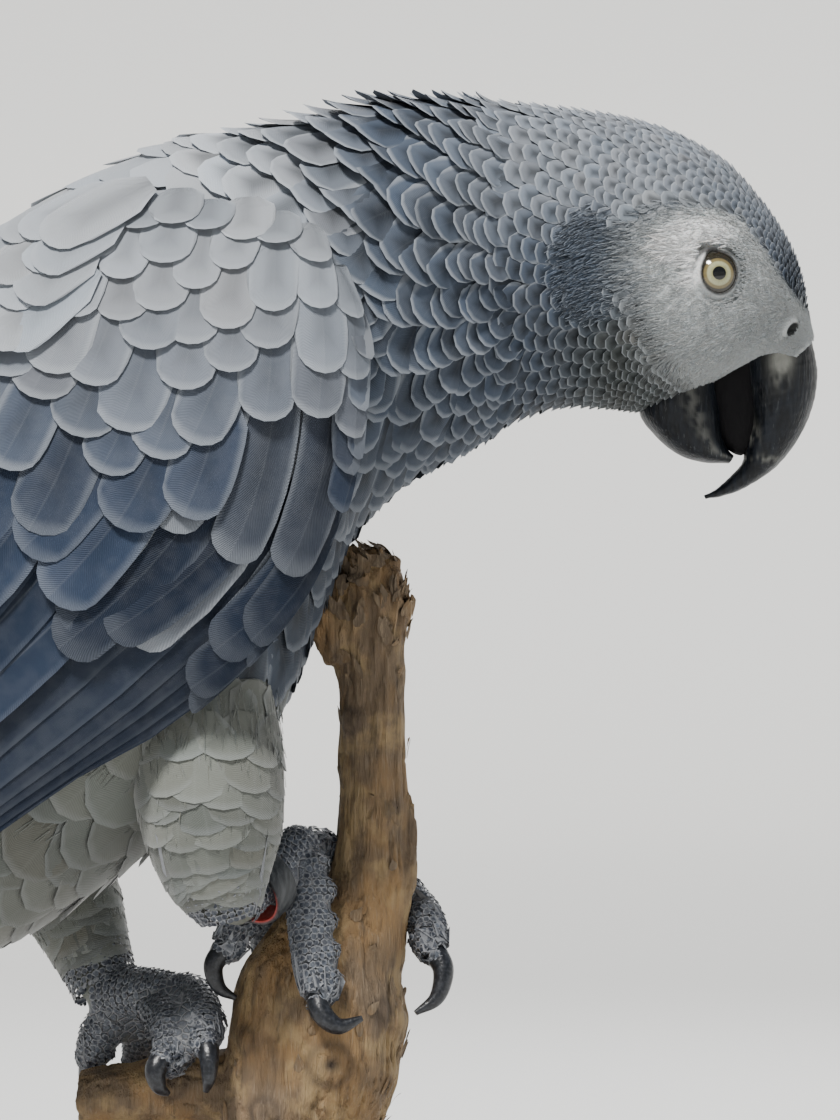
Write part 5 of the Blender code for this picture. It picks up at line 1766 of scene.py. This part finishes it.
def make_stand():
    """A turned round base with a rounded upper edge, and a plain steel rod."""
    low, high = (np.array(corner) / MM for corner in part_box("stand_base"))
    radius, top = (high[0] - low[0]) / 2, high[2]
    profile = [(radius - 0.5, 0.0), (radius, 0.5)]
    profile += [(radius - 2.0 + 2.0 * math.cos(a), top - 2.0 + 2.0 * math.sin(a))
                for a in np.linspace(0, math.pi / 2, 12)] + [(radius - 6.0, top), (1.0, top)]
    base = closed_grid(turned(profile, (0.0, 0.0), 160))
    place_mesh("stand_disc", base, "oiled_wood", ["stand_base"], 35)
    low, high = (np.array(corner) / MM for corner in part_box("stand_rod"))
    radius = (high[0] - low[0]) / 2
    profile = [(radius - 0.3, low[2]), (radius, low[2] + 0.3), (radius, high[2] - 0.3),
               (radius - 0.3, high[2])]
    rod = closed_grid(turned(profile, (low + high) / 2, 64))
    place_mesh("stand_pin", rod, "brushed_steel", ["stand_rod"], 35)


def make_light(name, kind, energy, colour, size):
    """A sun or area light in the scene; size is the sun's angle or the area's side."""
    lamp = bpy.data.lights.new(name, kind)
    lamp.energy = energy
    lamp.color = colour
    setattr(lamp, "angle" if kind == "SUN" else "size", size)
    return linked(name, lamp)


def make_stage(settings):
    """Pale floor, soft lights and the camera."""
    profile = [(0.02, 0.0), (1.0, 0.0), (2.0, 0.0)]
    profile += [(3.0 + 1.2 * math.sin(a), 1.2 - 1.2 * math.cos(a))
                for a in np.linspace(0, math.pi / 2, 25)] + [(4.2, 1.5)]
    rings = turned(profile, (0.0, 0.0), 96)
    index = np.arange(rings[..., 0].size).reshape(rings.shape[:2])
    beside = np.roll(index, -1, axis=1)
    faces = np.stack([index[:-1], index[1:], beside[1:], beside[:-1]], axis=-1).reshape(-1, 4)
    mesh = bpy.data.meshes.new("floor")
    mesh.from_pydata(rings.reshape(-1, 3).tolist(), [], faces.tolist() + [list(range(96))])
    mesh.shade_smooth()
    mesh.materials.append(Finish("floor_paint", 0.8, Specular_IOR_Level=0.1)
                          .done((0.72, 0.72, 0.71)))
    floor = linked("floor", mesh)
    world = bpy.data.worlds.new("room")
    world.use_nodes = True
    world.node_tree.nodes["Background"].inputs[0].default_value = (0.70, 0.77, 0.88, 1.0)
    world.node_tree.nodes["Background"].inputs[1].default_value = settings.room_light
    bpy.context.scene.world = world
    key = make_light("key", "SUN", settings.key_light, (1.0, 0.98, 0.94), 0.22)
    key.rotation_euler = (math.radians(33.0), math.radians(-10.0), math.radians(-16.0))
    back = make_light("back", "AREA", settings.rim_light, (1.0, 1.0, 1.0), 0.8)
    back.location = (0.3, 1.1, 0.9)
    way = np.array([0.3, 1.1, 0.9]) - (0.03, 0.0, 0.2)
    back.rotation_euler = (math.atan2(math.hypot(way[0], way[1]), way[2]), 0.0,
                           math.atan2(way[1], way[0]) + math.pi / 2)
    lens = bpy.data.cameras.new("camera")
    lens.sensor_fit = "VERTICAL"
    lens.angle_y = 2 * math.atan(100.8 / 1150.0)
    lens.clip_start = 0.05
    lens.clip_end = 30.0
    camera = linked("camera", lens)
    camera.location = (0.036, -1.150, 0.1888)
    camera.rotation_euler = (math.pi / 2, 0.0, 0.0)
    bpy.context.scene.camera = camera


def colour_setting(name, description, default):
    """A colour property of the settings."""
    return FloatVectorProperty(name=name, description=description, default=default,
                               subtype="COLOR", size=3, min=0.0, max=1.0)


class ParrotSettings(bpy.types.PropertyGroup):
    """Sizes, colours and lights that a user may change."""
    neck: colour_setting("Neck", "Neck and breast feathers", (0.072, 0.092, 0.128))
    # Crown grey: partly the head's own paler grey, partly painted light from above.
    crown: colour_setting("Crown", "Crown and nape feathers", (0.260, 0.290, 0.335))
    cheek: colour_setting("Cheek", "Cheek and throat feathers", (0.074, 0.084, 0.083))
    ear: colour_setting("Ear coverts", "Hair-like feathers behind the face",
                        (0.105, 0.135, 0.180))
    face: colour_setting("Face", "Bare face and its fine hairs", (0.500, 0.525, 0.530))
    # Mantle grey: set pale partly as painted light from above on the back and the wings' top.
    mantle: colour_setting("Mantle", "Upper back and the top of the wings",
                           (0.440, 0.468, 0.508))
    wing: colour_setting("Wing", "Wing coverts", (0.052, 0.074, 0.124))
    wing_dark: colour_setting("Flight feathers", "Primaries and the wing's dark edge",
                              (0.012, 0.020, 0.040))
    # Belly grey: partly the plumage's own pale grey, partly painted shade of the underside.
    belly: colour_setting("Belly", "Belly, flanks and thighs", (0.150, 0.159, 0.140))
    rump: colour_setting("Rump", "Rump feathers", (0.300, 0.310, 0.325))
    red: colour_setting("Tail", "Tail feathers", (0.330, 0.008, 0.007))
    foot: colour_setting("Foot", "Foot scales", (0.100, 0.112, 0.135))
    face_hairs: IntProperty(name="Face hairs", description="Places tried for face hairs",
                            default=41000, min=1000, max=45000)
    ruffle: FloatProperty(name="Ruffle", description="How far nape feathers stand up, in mm",
                          default=1.5, min=0.0, max=3.0)
    skin_grain: FloatProperty(name="Skin grain", description="Voxel size that fuses the skin",
                              default=1.5, min=0.8, max=2.5)
    bark_grain: FloatProperty(name="Bark grain", description="Voxel size that fuses the branch",
                              default=0.55, min=0.3, max=2.0)
    seed: IntProperty(name="Seed", description="Start of the feathers' variation", default=11)
    key_light: FloatProperty(name="Key light", description="Strength of the light from above",
                             default=5.0, min=0.0)
    rim_light: FloatProperty(name="Rim light", description="Power of the light from behind",
                             default=9.0, min=0.0, unit="POWER")
    room_light: FloatProperty(name="Room light", description="Strength of the light all round",
                              default=0.32, min=0.0)


def random_for(piece):
    """The piece's own repeatable random numbers."""
    return np.random.default_rng(bpy.context.scene.parrot.seed * 1000 + piece)


class PARROT_OT_skin(bpy.types.Operator):
    """Fuse the body into one skin and shape the face"""
    bl_idname = "parrot.skin"
    bl_label = "Skin"

    def execute(self, context):
        make_skin(context.scene.parrot.skin_grain)
        return {"FINISHED"}


class PARROT_OT_head_coat(bpy.types.Operator):
    """Lay the feathers of the head, face and ears"""
    bl_idname = "parrot.head_coat"
    bl_label = "Head coat"

    def execute(self, context):
        make_head_feathers(random_for(1))
        make_face_hairs("right", 0.0, random_for(2))
        make_face_hairs("left", 0.5, random_for(12))
        make_ear_coverts(random_for(3))
        return {"FINISHED"}


class PARROT_OT_body_coat(bpy.types.Operator):
    """Lay the feathers of the neck, body, thighs and tail"""
    bl_idname = "parrot.body_coat"
    bl_label = "Body coat"

    def execute(self, context):
        make_neck_feathers(random_for(4))
        make_body_feathers(random_for(5))
        make_belly_down(random_for(9))
        make_thigh_feathers("right", THIGH_RIGHT, 2.95, random_for(6))
        make_thigh_feathers("left", THIGH_LEFT, 2.65, random_for(7))
        make_tail_feathers(random_for(8))
        return {"FINISHED"}


class PARROT_OT_wings(bpy.types.Operator):
    """Lay the coverts, long vanes and scapulars of both wings"""
    bl_idname = "parrot.wings"
    bl_label = "Wings"

    def execute(self, context):
        for side, flip, piece in (("right", False, 10), ("left", True, 20)):
            make_wing_vanes(side, random_for(piece), flip)
            make_wing_coverts(side, random_for(piece + 1), flip)
            make_scapulars(side, random_for(piece + 2), flip)
        return {"FINISHED"}


class PARROT_OT_hard_parts(bpy.types.Operator):
    """Make the bill, eyes, claws, foot scales and leg ring"""
    bl_idname = "parrot.hard_parts"
    bl_label = "Bill, eyes and feet"

    def execute(self, context):
        make_bill()
        for side, sign, piece in (("right", -1, 30), ("left", 1, 31)):
            make_eye(side, sign)
            make_claws(side)
            make_foot_scales(side, random_for(piece))
        make_leg_ring()
        return {"FINISHED"}


class PARROT_OT_perch(bpy.types.Operator):
    """Make the branch and the display stand"""
    bl_idname = "parrot.perch"
    bl_label = "Perch and stand"

    def execute(self, context):
        make_perch(context.scene.parrot.bark_grain)
        make_bark_flakes(random_for(40))
        make_stand()
        return {"FINISHED"}


class PARROT_OT_stage(bpy.types.Operator):
    """Set the floor, lights and camera"""
    bl_idname = "parrot.stage"
    bl_label = "Stage"

    def execute(self, context):
        make_stage(context.scene.parrot)
        return {"FINISHED"}


OPERATORS = (PARROT_OT_skin, PARROT_OT_head_coat, PARROT_OT_body_coat, PARROT_OT_wings,
             PARROT_OT_hard_parts, PARROT_OT_perch, PARROT_OT_stage)


class PARROT_PT_panel(bpy.types.Panel):
    """Panel in the sidebar that lists the makers"""
    bl_label = "Grey parrot"
    bl_idname = "PARROT_PT_panel"
    bl_space_type = "VIEW_3D"
    bl_region_type = "UI"
    bl_category = "Parrot"

    def draw(self, context):
        for key in ParrotSettings.__annotations__:
            self.layout.prop(context.scene.parrot, key)
        for kind in OPERATORS:
            self.layout.operator(kind.bl_idname)


def register():
    """Register the settings, operators and panel."""
    for kind in (ParrotSettings, PARROT_PT_panel) + OPERATORS:
        bpy.utils.register_class(kind)
    bpy.types.Scene.parrot = PointerProperty(type=ParrotSettings)


def unregister():
    """Undo register."""
    del bpy.types.Scene.parrot
    for kind in (ParrotSettings, PARROT_PT_panel) + OPERATORS:
        bpy.utils.unregister_class(kind)


def main():
    """Build every piece."""
    register()
    for kind in OPERATORS:
        group, name = kind.bl_idname.split(".")
        getattr(getattr(bpy.ops, group), name)()


if __name__ == "__main__":
    main()
